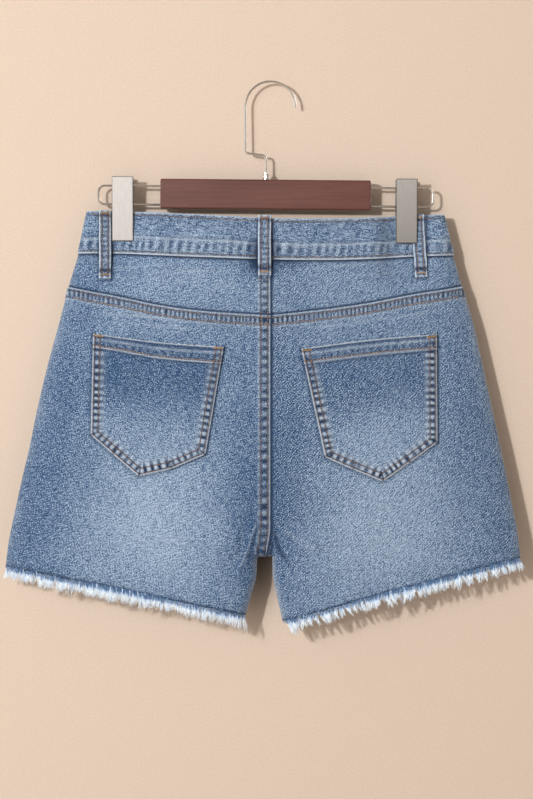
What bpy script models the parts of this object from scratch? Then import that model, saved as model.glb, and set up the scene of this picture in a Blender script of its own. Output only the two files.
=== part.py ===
"""Denim shorts hanging from a wooden hanger with two metal clips.

Frame: +Z up, the origin inside the top of the hook, where a rod carries the hanger.
The back of the shorts faces -Y, the front faces +Y, and the wearer's left leg is at -X.
Lengths are in millimetres and turn into metres where an object's mesh is made.

All the cloth lies on one form, the inner face of the garment. A table for each half names the
sections from the waist to the hem; each section runs from the centre seam or inseam (s = 0) to
the side seam (s = 1). Cloth walls grow outward from the form, and pieces stop short of a seam.
"""
import math
from collections import namedtuple

import bmesh
import bpy
from mathutils import Vector

MM = 0.001

# Cloth
CLOTH = 1.2              # wall of a denim panel
BAND = 2.4               # wall of the waistband, folded double
LOOP_WALL = 1.4          # wall of a belt loop, folded and pressed
GAP = 0.3                # space kept between neighbouring pieces
EDGE_LIP = 0.5           # straight run of a panel just before a side seam or inseam
FRINGE_REACH = 13.0      # how far the frayed threads reach below the hem
FRONT_FULLNESS = 0.8     # depth of the front compared with the back
FRONT_DIP = 9.0          # how much lower the front waist hangs at its centre
SIDE_ROUNDNESS = 6       # power of the curve that rounds a section in to the side seam
INNER_ROUNDING = 60.0    # distance over which a section rounds in to the inseam
EDGE_ROUNDING = 6.0      # the last turn into the inseam itself
SEAT_STRETCH = 2.0       # the rounding up the seat seam, compared with that across the leg

# Sections of the form. depth is how far the back stands off the middle plane,
# sag is how far the section hangs below the straight line between its ends.
Row = namedtuple("Row", "name side_x side_z inner_x inner_z sag depth")
LEFT_ROWS = [
    Row("waist_top", -182.3, -129.5, 0.0, -136.8, -1.2, 12.0),
    Row("waist_seam", -191.3, -172.2, 0.0, -178.4, -0.4, 13.0),
    Row("yoke_seam", -201.0, -205.0, 0.0, -233.3, 6.0, 15.0),
    Row("pocket_top", -209.8, -238.6, 0.0, -268.0, 5.0, 16.0),
    Row("pocket_middle", -220.4, -277.4, 0.0, -314.0, 3.0, 16.5),
    Row("pocket_low", -233.1, -330.0, 0.0, -362.0, 2.0, 16.5),
    Row("seat", -240.0, -364.6, 0.0, -405.0, 2.0, 16.0),
    Row("above_crotch", -248.4, -400.0, 0.0, -443.0, 2.0, 15.0),
    Row("crotch", -254.0, -426.0, -4.2, -473.4, 2.0, 14.0),
    Row("crotch_turn", -255.8, -434.0, -11.5, -473.8, 2.0, 13.8),
    Row("leg_top", -257.6, -442.5, -14.8, -480.0, 2.0, 13.5),
    Row("leg_middle", -260.4, -456.0, -15.6, -494.0, 2.0, 13.0),
    Row("leg_low", -262.6, -471.0, -20.5, -513.0, 1.0, 12.5),
    Row("hem", -264.3, -486.3, -26.5, -535.0, -0.8, 12.0),
]
RIGHT_ROWS = [
    Row("waist_top", 172.4, -133.0, 0.0, -136.8, 1.6, 12.0),
    Row("waist_seam", 182.2, -174.0, 0.0, -178.4, 2.2, 13.0),
    Row("yoke_seam", 190.7, -204.6, 0.0, -233.3, 3.0, 15.0),
    Row("pocket_top", 201.4, -239.0, 0.0, -268.0, 3.0, 16.0),
    Row("pocket_middle", 212.0, -286.0, 0.0, -314.0, 2.0, 16.5),
    Row("pocket_low", 221.6, -330.0, 0.0, -362.0, 2.0, 16.5),
    Row("seat", 228.6, -362.0, 0.0, -405.0, 1.0, 16.0),
    Row("above_crotch", 236.0, -398.0, 0.0, -443.0, 0.0, 15.0),
    Row("crotch", 241.3, -424.0, -4.2, -473.4, 0.0, 14.0),
    Row("crotch_turn", 242.9, -432.0, 3.0, -473.8, 0.0, 13.8),
    Row("leg_top", 244.4, -439.5, 3.4, -480.0, 0.0, 13.5),
    Row("leg_middle", 246.4, -450.5, 4.0, -494.0, 0.0, 13.0),
    Row("leg_low", 248.0, -464.0, 7.5, -513.5, -1.0, 12.5),
    Row("hem", 249.6, -478.2, 14.2, -541.0, -1.5, 12.0),
]
HALVES = {"left": LEFT_ROWS, "right": RIGHT_ROWS}
ROW = {row.name: index for index, row in enumerate(LEFT_ROWS)}

# Places across a half section where the cloth is creased into flat facets; they crowd together
# where the section turns in, at the seams and beside the clips.
ACROSS = [0.0, 0.006, 0.02, 0.055, 0.13, 0.27, 0.45, 0.60, 0.68, 0.74, 0.79, 0.83, 0.86, 0.885,
          0.91, 0.935, 0.96, 0.982, 0.994, 1.0]

# Clips: the faces of a plate and how far its grip stands off the middle plane
Clip = namedtuple("Clip", "name low_x high_x back_grip front_grip")
CLIPS = [
    Clip("left", -158.2, -137.0, 4.0, 4.0),
    Clip("right", 125.8, 147.0, 6.0, 4.0),
]
PINCH_REACH = 26.0       # half width of the cloth that a clip flattens
PINCH_POWER = 4
PINCH_END_Z = (-163.0, -222.0)   # the pinch is full above the first, gone below the second
CLIP_LIFT = 1.3          # how much a clip raises the waist's edge
LIFT_REACH = 34.0

# Hanger
WIRE_RADIUS = 1.2
HOOK_RADIUS = 25.0
HOOK_STEM_BOTTOM = -67.0
HOOK_FOOT_X = -4.5
HOOK_FOOT_BEND = 4.0
HOOK_FOOT_BOTTOM = -90.0
HANGER_X = -4.6          # middle of the bar
HANGER_TOP = -97.4       # top of the bar at its middle
HANGER_TILT = math.radians(0.5)
BAR_SIZE = (211.0, 13.0, 30.0)
BAR_BEVEL = 1.6
COLLAR_RADIUS = 3.6
RAIL_HALF_LENGTH = 168.8
RAIL_UPPER = -7.2        # the rail's wires, measured from the top of the bar
RAIL_LOWER = -25.7
RAIL_CORNER = 6.0
PLATE_TOP = 1.6          # a clip's plate, measured from the top of the bar
PLATE_BOTTOM = -62.6
PLATE_WALL = 1.2
PLATE_LEAN = 10.5        # how far its top stands off the middle plane
SPRING_RADIUS = 2.6

# Pockets: corners of the outline, from the opening down to the point
Edge = namedtuple("Edge", "name left_x left_z right_x right_z")
POCKETS = {
    "left": [
        Edge("opening", -176.9, -251.3, -46.3, -264.6),
        Edge("shoulder", -179.0, -353.0, -64.6, -372.2),
        Edge("slope", -157.0, -372.0, -98.0, -386.6),
        Edge("point", -131.4, -394.1, -131.4, -394.1),
    ],
    "right": [
        Edge("opening", 30.4, -266.7, 165.9, -252.1),
        Edge("shoulder", 54.2, -375.1, 166.4, -360.5),
        Edge("slope", 82.0, -387.2, 139.5, -380.0),
        Edge("point", 112.2, -399.5, 112.2, -399.5),
    ],
}
POCKET_ROWS = {"opening": 6, "shoulder": 2, "slope": 2}   # facets below each named line
POCKET_ACROSS = 8

# Belt loops: middle of each loop at its two ends, its width, and how far it arches off the band
Loop = namedtuple("Loop", "name face top_x top_z bottom_x bottom_z width arch")
LOOPS = [
    Loop("belt_loop_back_left", "back", -165.2, -128.4, -165.2, -196.7, 12.0, 2.2),
    Loop("belt_loop_back_centre", "back", -5.8, -133.6, -5.8, -194.0, 13.2, 2.6),
    Loop("belt_loop_back_right", "back", 147.2, -132.2, 150.8, -195.0, 12.6, 0.0),
    Loop("belt_loop_front_left", "front", -96.0, -139.0, -97.0, -202.0, 12.6, 2.4),
    Loop("belt_loop_front_right", "front", 90.0, -141.0, 91.0, -204.0, 12.6, 2.4),
]
LOOP_STEPS = 12
LOOP_EASE = 0.25         # extra room under a loop where the cloth bends

# Front closure
OVERLAP = 22.0           # how far the left end of the waistband laps over the right end
OVERLAP_RAMP = 16.0
ZIP_WIDTH = 24.0
ZIP_TOP = -191.0
ZIP_BOTTOM = -318.0
ZIP_WALL = 1.0
SLIDER_SIZE = (8.0, 3.4, 9.0)
PULL_SIZE = (5.0, 1.0, 17.0)
BUTTON_RADIUS = 8.5
BUTTON_X = 11.0
BUTTON_RISE = 3.0

# Colours as (red, green, blue), roughness and metallic
DENIM = ((0.17, 0.29, 0.47), 0.9, 0.0)
DENIM_POCKET = ((0.15, 0.27, 0.45), 0.9, 0.0)
DENIM_LOOP = ((0.22, 0.34, 0.52), 0.9, 0.0)
DENIM_FRONT = ((0.18, 0.31, 0.49), 0.9, 0.0)
FRAYED = ((0.80, 0.84, 0.88), 0.95, 0.0)
TAPE = ((0.10, 0.16, 0.28), 0.9, 0.0)
BRASS = ((0.62, 0.42, 0.20), 0.35, 1.0)
WOOD = ((0.13, 0.035, 0.022), 0.45, 0.0)
NICKEL = ((0.62, 0.60, 0.56), 0.35, 1.0)
STEEL = ((0.66, 0.65, 0.63), 0.22, 1.0)


# ---------------------------------------------------------------- scene helpers

def empty_scene():
    for old in list(bpy.data.objects):
        bpy.data.objects.remove(old, do_unlink=True)


def new_collection(name):
    collection = bpy.data.collections.new(name)
    bpy.context.scene.collection.children.link(collection)
    return collection


def material(name, finish):
    colour, roughness, metallic = finish
    made = bpy.data.materials.new(name)
    made.use_nodes = True
    shader = made.node_tree.nodes["Principled BSDF"]
    shader.inputs["Base Color"].default_value = (*colour, 1.0)
    shader.inputs["Roughness"].default_value = roughness
    shader.inputs["Metallic"].default_value = metallic
    made.diffuse_color = (*colour, 1.0)
    return made


def add_object(collection, name, data, finish):
    made = bpy.data.objects.new(name, data)
    collection.objects.link(made)
    made.data.materials.append(material(name, finish))
    return made


def solidify(item, wall, outward=1.0):
    shell = item.modifiers.new("wall", "SOLIDIFY")
    shell.thickness = wall * MM
    shell.offset = outward
    shell.use_quality_normals = True
    return shell


def smooth_step(value, start, end):
    share = min(1.0, max(0.0, (value - start) / (end - start)))
    return share * share * (3.0 - 2.0 * share)


# ---------------------------------------------------------------- the form

def blend_column(rows, place, column):
    """Value of one column between the rows, smooth and without overshoot.

    The inner edge turns a corner at the crotch, where the seat seam meets the inseam.
    """
    values = [getattr(row, column) for row in rows]
    last = len(values) - 1
    place = min(float(last), max(0.0, place))
    low = min(last - 1, int(place))
    share = place - low

    def slope(index):
        corner = column.startswith("inner") and rows[index].name == "crotch"
        if index in (0, last) or corner:
            return values[low + 1] - values[low]
        before = values[index] - values[index - 1]
        after = values[index + 1] - values[index]
        if before * after <= 0.0:
            return 0.0
        return 2.0 * before * after / (before + after)

    start, end = values[low], values[low + 1]
    square, cube = share ** 2, share ** 3
    return (start * (2 * cube - 3 * square + 1) + slope(low) * (cube - 2 * square + share)
            + end * (3 * square - 2 * cube) + slope(low + 1) * (cube - square))


def flat_place(half, face, s, row):
    """Where a point of a section lies in the middle plane, as (x, z)."""
    rows = HALVES[half]
    side_x = blend_column(rows, row, "side_x")
    side_z = blend_column(rows, row, "side_z")
    inner_x = blend_column(rows, row, "inner_x")
    inner_z = blend_column(rows, row, "inner_z")
    x = inner_x + (side_x - inner_x) * s
    z = inner_z + (side_z - inner_z) * s - blend_column(rows, row, "sag") * math.sin(math.pi * s)
    above_seat = 1.0 - smooth_step(row, ROW["waist_seam"], ROW["above_crotch"])
    for clip in CLIPS:
        middle = (clip.low_x + clip.high_x) / 2
        z += CLIP_LIFT * above_seat * math.exp(-((x - middle) / LIFT_REACH) ** 2)
    if face == "front":
        z -= FRONT_DIP * above_seat * (1.0 - s * s) ** 2
    return x, z


def pinch(x, z):
    """1 where a clip presses front and back together, 0 away from the clips."""
    fade = smooth_step(z, PINCH_END_Z[1], PINCH_END_Z[0])
    pressed = 0.0
    for clip in CLIPS:
        middle = (clip.low_x + clip.high_x) / 2
        pressed = max(pressed, math.exp(-((x - middle) / PINCH_REACH) ** PINCH_POWER))
    return pressed * fade


def soft_inner(half, row):
    """The inner edge that the depth follows: it swings smoothly from the seat seam to the inseam."""
    rows = HALVES[half]
    if row >= ROW["leg_middle"]:
        return blend_column(rows, row, "inner_x")
    return rows[ROW["leg_middle"]].inner_x * smooth_step(row, ROW["seat"], ROW["leg_middle"])


def form_depth(half, face, s, row):
    """How far the form stands off the middle plane, before its edge lip."""
    rows = HALVES[half]
    outward = -1.0 if half == "left" else 1.0
    x, z = flat_place(half, face, s, row)
    across = max(0.0, outward * (x - soft_inner(half, row)))
    up_seam = 0.0
    if row < ROW["crotch"]:
        up_seam = (blend_column(rows, row, "inner_z") - rows[ROW["crotch"]].inner_z) / SEAT_STRETCH
    near = min(1.0, math.hypot(across, up_seam) / INNER_ROUNDING)
    edge = min(1.0, math.hypot(x - blend_column(rows, row, "inner_x"), up_seam) / EDGE_ROUNDING)
    inner_round = math.sqrt(1.0 - (1.0 - near) ** 3) * math.sqrt(1.0 - (1.0 - edge) ** 2)
    side_round = math.sqrt(max(0.0, 1.0 - min(1.0, s) ** SIDE_ROUNDNESS))
    depth = blend_column(rows, row, "depth") * inner_round * side_round * (1.0 - pinch(x, z))
    return depth * (FRONT_FULLNESS if face == "front" else 1.0)


def form_point(half, face, s, row):
    toward = 1.0 if face == "front" else -1.0
    x, z = flat_place(half, face, s, row)
    return Vector((x, toward * (GAP / 2 + EDGE_LIP + form_depth(half, face, s, row)), z))


def panel_section(half, face, row, lip=True):
    """Points of one panel across a section, from its inner seam to its side seam.

    Below the crotch a section ends in a straight lip at the inseam, as it does at the side seam.
    Above it the section stops beside the centre seam. On the crotch itself, lip turns the corner.
    """
    toward = 1.0 if face == "front" else -1.0
    outward = -1.0 if half == "left" else 1.0
    points = [form_point(half, face, s, row) for s in ACROSS]
    if row > ROW["crotch"]:
        inner = Vector((points[0].x, toward * GAP / 2, points[0].z))
    else:
        inner = points[0] + Vector((outward * GAP / 2, 0, 0))
        points[0] = points[0] + Vector((outward * (GAP / 2 + EDGE_LIP), 0, 0))
        if row == ROW["crotch"] and lip:
            inner.y = toward * GAP / 2
    side = Vector((points[-1].x, toward * GAP / 2, points[-1].z))
    return [inner] + points + [side]


def panel_lines(half, face, top):
    """All the sections of a panel from its top seam to the hem, with more above the crotch."""
    crotch = ROW["crotch"]
    lines = [panel_section(half, face, shifted(top, GAP / 2))]
    places = list(range(ROW[top] + 1, crotch)) + [crotch - 0.5, crotch - 0.22, crotch - 0.07]
    lines += [panel_section(half, face, place) for place in places]
    lines.append(panel_section(half, face, crotch, lip=False))
    lines += [panel_section(half, face, place) for place in range(crotch, ROW["hem"])]
    lines.append(panel_section(half, face, shifted("hem", -GAP / 2)))
    return lines


def surface_at(face, x, z):
    """Depth of the form under a point of the middle plane, found by halving."""
    half = "left" if x < 0 else "right"
    rows = HALVES[half]

    def share_at(row):
        inner_x = blend_column(rows, row, "inner_x")
        return (x - inner_x) / (blend_column(rows, row, "side_x") - inner_x)

    low, high = 0.0, float(ROW["hem"])
    for _ in range(30):
        middle = (low + high) / 2
        if flat_place(half, face, share_at(middle), middle)[1] > z:
            low = middle
        else:
            high = middle
    share = max(0.0, share_at(low))
    return GAP / 2 + EDGE_LIP + form_depth(half, face, share, low)


def row_height(half, row):
    """Distance down the inner edge from one row to the next."""
    rows = HALVES[half]
    low = min(int(row), len(rows) - 2)
    return rows[low].inner_z - rows[low + 1].inner_z


def shifted(row, distance):
    """The place in the table a small distance below a named row."""
    index = ROW[row]
    if distance < 0:
        index -= 1
    return ROW[row] + distance / row_height("left", index)


def row_steps(start, end, steps):
    """Places in the table from one seam to another, with steps facets in all."""
    first = shifted(start, GAP / 2)
    last = shifted(end, -GAP / 2)
    return [first + (last - first) * index / steps for index in range(steps + 1)]


# ---------------------------------------------------------------- building cloth

def cloth_wall(collection, name, lines, wall, finish, closed=False, outward=1.0):
    """A wall on a net of points. Each line of the net has the same number of points."""
    net = bmesh.new()
    verts = [[net.verts.new(point * MM) for point in line] for line in lines]
    count = len(lines[0])
    for upper, lower in zip(verts, verts[1:]):
        for index in range(count if closed else count - 1):
            after = (index + 1) % count
            net.faces.new((upper[index], upper[after], lower[after], lower[index]))
    bmesh.ops.remove_doubles(net, verts=net.verts, dist=0.02 * MM)
    net.normal_update()
    facing = sum(f.calc_area() * f.normal.y * f.calc_center_median().y for f in net.faces)
    if facing < 0:
        bmesh.ops.reverse_faces(net, faces=net.faces)
    mesh = bpy.data.meshes.new(name)
    net.to_mesh(mesh)
    net.free()
    mesh.shade_smooth()
    item = add_object(collection, name, mesh, finish)
    solidify(item, wall, outward)
    return item


def build_panels(collection):
    for half in HALVES:
        yoke = [panel_section(half, "back", row) for row in row_steps("waist_seam", "yoke_seam", 3)]
        cloth_wall(collection, "yoke_" + half, yoke, CLOTH, DENIM)
        for face, top in (("back", "yoke_seam"), ("front", "waist_seam")):
            finish = DENIM if face == "back" else DENIM_FRONT
            cloth_wall(collection, face + "_" + half, panel_lines(half, face, top), CLOTH, finish)


def band_section(row):
    """The waistband's path round the waist, from its lapping end to its lapped end."""
    lap = BAND + GAP
    across = [s for s in ACROSS if s == 0.0 or s > 0.05]
    path = []
    for x in (OVERLAP, OVERLAP / 2):
        point = form_point("right", "front", x / RIGHT_ROWS[0].side_x, row)
        path.append(point + Vector((0, lap, 0)))
    for s in across:
        point = form_point("left", "front", s, row)
        rise = lap * (1.0 - smooth_step(-point.x, 0.0, OVERLAP_RAMP))
        path.append(point + Vector((0, rise, 0)))
    path += [form_point("left", "back", s, row) for s in reversed(across[1:])]
    path += [form_point("right", "back", s, row) for s in across]
    path += [form_point("right", "front", s, row) for s in reversed(across)]
    return path


def build_waistband(collection):
    last = shifted("waist_seam", -GAP / 2)
    lines = [band_section(last * index / 3) for index in range(4)]
    cloth_wall(collection, "waistband", lines, BAND, DENIM)


def build_fringe(collection):
    """A plain wall of the threads' reach below each hem, all round the leg."""
    for half in HALVES:
        start = shifted("hem", -GAP / 2)
        ring = [form_point(half, "back", s, start) for s in ACROSS]
        ring += [form_point(half, "front", s, start) for s in reversed(ACROSS)]
        higher = [form_point(half, "back", s, start - 0.5) for s in ACROSS]
        higher += [form_point(half, "front", s, start - 0.5) for s in reversed(ACROSS)]
        lines = []
        for distance in (GAP, FRINGE_REACH):
            line = []
            for point, above in zip(ring, higher):
                down = point - above
                down.y = 0.0
                line.append(point + down.normalized() * distance)
            lines.append(line)
        cloth_wall(collection, "fringe_" + half, lines, CLOTH, FRAYED, closed=True)


def build_pockets(collection):
    """Patch pockets: a net over the outline, moved out from the back panel's points."""
    lift = CLOTH + GAP + 0.05
    for half, edges in POCKETS.items():
        lines = []
        for upper, lower in zip(edges, edges[1:]):
            steps = POCKET_ROWS[upper.name]
            count = steps + 1 if lower.name == "point" else steps
            for step in range(count):
                share = step / steps
                ends = []
                for end in ("left", "right"):
                    x = getattr(upper, end + "_x") * (1 - share) + getattr(lower, end + "_x") * share
                    z = getattr(upper, end + "_z") * (1 - share) + getattr(lower, end + "_z") * share
                    ends.append((x, z))
                line = []
                for index in range(POCKET_ACROSS + 1):
                    part = index / POCKET_ACROSS
                    x = ends[0][0] * (1 - part) + ends[1][0] * part
                    z = ends[0][1] * (1 - part) + ends[1][1] * part
                    line.append(Vector((x, -surface_at("back", x, z) - lift, z)))
                lines.append(line)
        cloth_wall(collection, "back_pocket_" + half, lines, CLOTH, DENIM_POCKET)


def build_belt_loops(collection):
    """Strips over the waistband, held at its top edge and just below its seam."""
    for loop in LOOPS:
        toward = 1.0 if loop.face == "front" else -1.0
        lines = []
        for step in range(LOOP_STEPS + 1):
            share = step / LOOP_STEPS
            middle = loop.top_x * (1 - share) + loop.bottom_x * share
            z = loop.top_z * (1 - share) + loop.bottom_z * share
            over_band = 1.0 - smooth_step(share, 0.74, 0.92)
            lift = CLOTH + (BAND - CLOTH) * over_band + GAP + LOOP_EASE
            lift += loop.arch * math.sin(math.pi * share) ** 0.7
            line = []
            for index in range(4):
                x = middle + loop.width * (index / 3 - 0.5)
                line.append(Vector((x, toward * (surface_at(loop.face, x, z) + lift), z)))
            lines.append(line)
        cloth_wall(collection, loop.name, lines, LOOP_WALL, DENIM_LOOP)


# ---------------------------------------------------------------- front closure

def rounded_box(collection, name, size, place, bevel, finish, parent=None):
    bpy.ops.mesh.primitive_cube_add(size=1.0, location=(0, 0, 0))
    item = bpy.context.object
    for owner in list(item.users_collection):
        owner.objects.unlink(item)
    collection.objects.link(item)
    item.name = item.data.name = name
    for vert in item.data.vertices:
        vert.co = [vert.co[axis] * size[axis] * MM for axis in range(3)]
    item.location = [value * MM for value in place]
    item.data.materials.append(material(name, finish))
    edge = item.modifiers.new("edges", "BEVEL")
    edge.width = bevel * MM
    edge.segments = 2
    item.parent = parent
    return item


def build_closure(collection):
    under = GAP + PULL_SIZE[1] + GAP
    lines = []
    for step in range(5):
        z = ZIP_TOP + (ZIP_BOTTOM - ZIP_TOP) * step / 4
        line = []
        for index in range(5):
            x = ZIP_WIDTH * (index / 4 - 0.5)
            line.append(Vector((x, surface_at("front", x, z) - under, z)))
        lines.append(line)
    cloth_wall(collection, "zip_tape", lines, ZIP_WALL, TAPE, outward=-1.0)

    slider_z = ZIP_TOP + GAP + SLIDER_SIZE[2] / 2
    slider_y = surface_at("front", 0, slider_z) - GAP - SLIDER_SIZE[1] / 2 - 0.2
    rounded_box(collection, "zip_slider", SLIDER_SIZE, (0, slider_y, slider_z), 0.6, BRASS)
    pull_z = ZIP_TOP - PULL_SIZE[2] / 2
    pull_y = surface_at("front", 0, pull_z) - GAP - PULL_SIZE[1] / 2 + 0.02
    rounded_box(collection, "zip_pull", PULL_SIZE, (0, pull_y, pull_z), 0.25, BRASS)

    # a domed button turned about its own axis, lying on the lapped end of the waistband
    profile = [(0.0, BUTTON_RISE), (4.6, BUTTON_RISE), (5.4, BUTTON_RISE - 0.7), (6.4, BUTTON_RISE),
               (7.6, BUTTON_RISE - 0.3), (BUTTON_RADIUS, BUTTON_RISE - 1.4), (BUTTON_RADIUS, 0.9),
               (6.0, 0.0), (0.0, 0.0)]
    outline = bpy.data.meshes.new("waist_button")
    verts = [(radius * MM, 0, height * MM) for radius, height in profile]
    outline.from_pydata(verts, [(i, i + 1) for i in range(len(verts) - 1)], [])
    item = add_object(collection, "waist_button", outline, BRASS)
    screw = item.modifiers.new("turned", "SCREW")
    screw.steps = screw.render_steps = 24
    screw.use_merge_vertices = True
    screw.merge_threshold = 0.00001
    button_z = (flat_place("right", "front", 0.0, 0.5)[1])
    base = surface_at("front", BUTTON_X, button_z) + 2 * BAND + 2 * GAP
    item.location = (BUTTON_X * MM, (base + 0.15) * MM, button_z * MM)
    item.rotation_euler = (-math.pi / 2, 0, 0)


# ---------------------------------------------------------------- hanger

def arc(centre, radius, start, end, steps):
    """Points on an arc in the XZ plane; angles in degrees, 0 along +X and 90 along +Z."""
    angles = [math.radians(start + (end - start) * step / steps) for step in range(steps + 1)]
    return [Vector((centre[0] + radius * math.cos(a), 0, centre[1] + radius * math.sin(a)))
            for a in angles]


def wire(collection, name, points, radius, finish, parent=None):
    curve = bpy.data.curves.new(name, "CURVE")
    curve.dimensions = "3D"
    curve.bevel_depth = radius * MM
    curve.bevel_resolution = 2
    curve.use_fill_caps = True
    spline = curve.splines.new("POLY")
    spline.points.add(len(points) - 1)
    for knot, point in zip(spline.points, points):
        knot.co = (*(point * MM), 1.0)
    item = add_object(collection, name, curve, finish)
    item.parent = parent
    return item


def build_hook(collection):
    centre = (0.0, WIRE_RADIUS - HOOK_RADIUS)
    bend = HOOK_FOOT_BEND
    run_z = HOOK_STEM_BOTTOM - bend - 1.0
    points = arc(centre, HOOK_RADIUS, -3, 180, 22)
    points += arc((bend - HOOK_RADIUS, HOOK_STEM_BOTTOM), bend, 180, 262, 5)
    points += arc((HOOK_FOOT_X - bend, run_z - bend - 0.6), bend, 84, 0, 5)
    points.append(Vector((HOOK_FOOT_X, 0, HOOK_FOOT_BOTTOM)))
    wire(collection, "hanger_hook", points, WIRE_RADIUS, STEEL)

    top = HOOK_FOOT_BOTTOM - GAP
    bottom = HANGER_TOP + GAP + 0.05
    height = top - bottom
    profile = [(0.0, height), (2.2, height), (2.2, height - 1.4), (COLLAR_RADIUS, height - 2.2),
               (COLLAR_RADIUS, 0.0), (0.0, 0.0)]
    outline = bpy.data.meshes.new("hanger_collar")
    verts = [(radius * MM, 0, z * MM) for radius, z in profile]
    outline.from_pydata(verts, [(i, i + 1) for i in range(len(verts) - 1)], [])
    item = add_object(collection, "hanger_collar", outline, STEEL)
    screw = item.modifiers.new("turned", "SCREW")
    screw.steps = screw.render_steps = 16
    screw.use_merge_vertices = True
    screw.merge_threshold = 0.00001
    item.location = (HOOK_FOOT_X * MM, 0, bottom * MM)


def build_rails(collection, parent):
    """On each side a wire leaves the bar's end, turns back and returns to it."""
    start = BAR_SIZE[0] / 2 + GAP + 0.05
    for name, sign in (("rail_left", -1), ("rail_right", 1)):
        turn_x = RAIL_HALF_LENGTH - RAIL_CORNER - WIRE_RADIUS
        upper = arc((turn_x, RAIL_UPPER - RAIL_CORNER), RAIL_CORNER, 90, 0, 5)
        lower = arc((turn_x, RAIL_LOWER + RAIL_CORNER), RAIL_CORNER, 0, -90, 5)
        points = [Vector((start, 0, RAIL_UPPER))] + upper + lower + [Vector((start, 0, RAIL_LOWER))]
        points = [Vector((sign * point.x, 0, point.z)) for point in points]
        wire(collection, name, points, WIRE_RADIUS, STEEL, parent)


def build_clips(collection, parent):
    """Two sprung plates on each rail; their lower ends grip the waistband."""
    spring_z = (RAIL_UPPER + RAIL_LOWER) / 2
    for clip in CLIPS:
        low_x, high_x = clip.low_x - HANGER_X, clip.high_x - HANGER_X
        for face, toward, grip in (("front", 1, clip.front_grip), ("back", -1, clip.back_grip)):
            profile = [(grip, PLATE_BOTTOM), (PLATE_LEAN, PLATE_TOP)]
            lines = [[Vector((x, toward * y, z)) for x in (low_x, high_x)] for y, z in profile]
            item = cloth_wall(collection, "clip_%s_%s_plate" % (clip.name, face), lines,
                              PLATE_WALL, NICKEL)
            item.parent = parent
        middle = (low_x + high_x) / 2
        rod = [Vector((middle - 8.5, 0, spring_z)), Vector((middle + 8.5, 0, spring_z))]
        wire(collection, "clip_%s_spring" % clip.name, rod, SPRING_RADIUS, STEEL, parent)


def build_hanger(collection):
    frame = bpy.data.objects.new("hanger_frame", None)
    collection.objects.link(frame)
    frame.location = (HANGER_X * MM, 0, HANGER_TOP * MM)
    frame.rotation_euler = (0, HANGER_TILT, 0)
    rounded_box(collection, "hanger_bar", BAR_SIZE, (0, 0, -BAR_SIZE[2] / 2), BAR_BEVEL, WOOD, frame)
    build_rails(collection, frame)
    build_clips(collection, frame)
    build_hook(collection)


def main():
    empty_scene()
    collection = new_collection("denim_shorts")
    build_waistband(collection)
    build_panels(collection)
    build_pockets(collection)
    build_belt_loops(collection)
    build_fringe(collection)
    build_closure(collection)
    build_hanger(collection)


main()
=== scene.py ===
# %% [markdown]
# # Denim shorts on a two-clip hanger
#
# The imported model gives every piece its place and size. This script keeps the hanger's hard
# pieces, gives them their finishes, and stands a finely made cloth piece in for each plain one.
# Cloth is made the same way each time: a grid from Blender's grid operator is laid on the
# garment's form, raised where the cloth is folded or puckered, and given a wall with Solidify.

# %% Load the frame
import math
from collections import namedtuple

import bmesh
import bpy
import numpy as np
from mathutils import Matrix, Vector
from mathutils.bvhtree import BVHTree


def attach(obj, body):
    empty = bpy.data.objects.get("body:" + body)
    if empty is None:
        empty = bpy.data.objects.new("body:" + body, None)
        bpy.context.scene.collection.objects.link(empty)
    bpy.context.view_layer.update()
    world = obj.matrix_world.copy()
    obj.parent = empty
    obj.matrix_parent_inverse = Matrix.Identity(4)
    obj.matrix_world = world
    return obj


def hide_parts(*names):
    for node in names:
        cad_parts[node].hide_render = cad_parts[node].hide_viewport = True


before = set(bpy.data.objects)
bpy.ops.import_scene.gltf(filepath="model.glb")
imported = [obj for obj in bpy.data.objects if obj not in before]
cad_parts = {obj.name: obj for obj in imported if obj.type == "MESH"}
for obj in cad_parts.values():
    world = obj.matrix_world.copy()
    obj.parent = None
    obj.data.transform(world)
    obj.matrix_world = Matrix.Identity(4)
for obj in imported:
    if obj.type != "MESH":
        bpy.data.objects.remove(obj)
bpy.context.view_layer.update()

MM = 0.001

# %% [markdown]
# ## Shader nodes
#
# Every finish below is a small graph of nodes. A helper that adds and joins nodes in one line
# each keeps those graphs easy to read, and it serves the wall and the studio's light as well.

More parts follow.
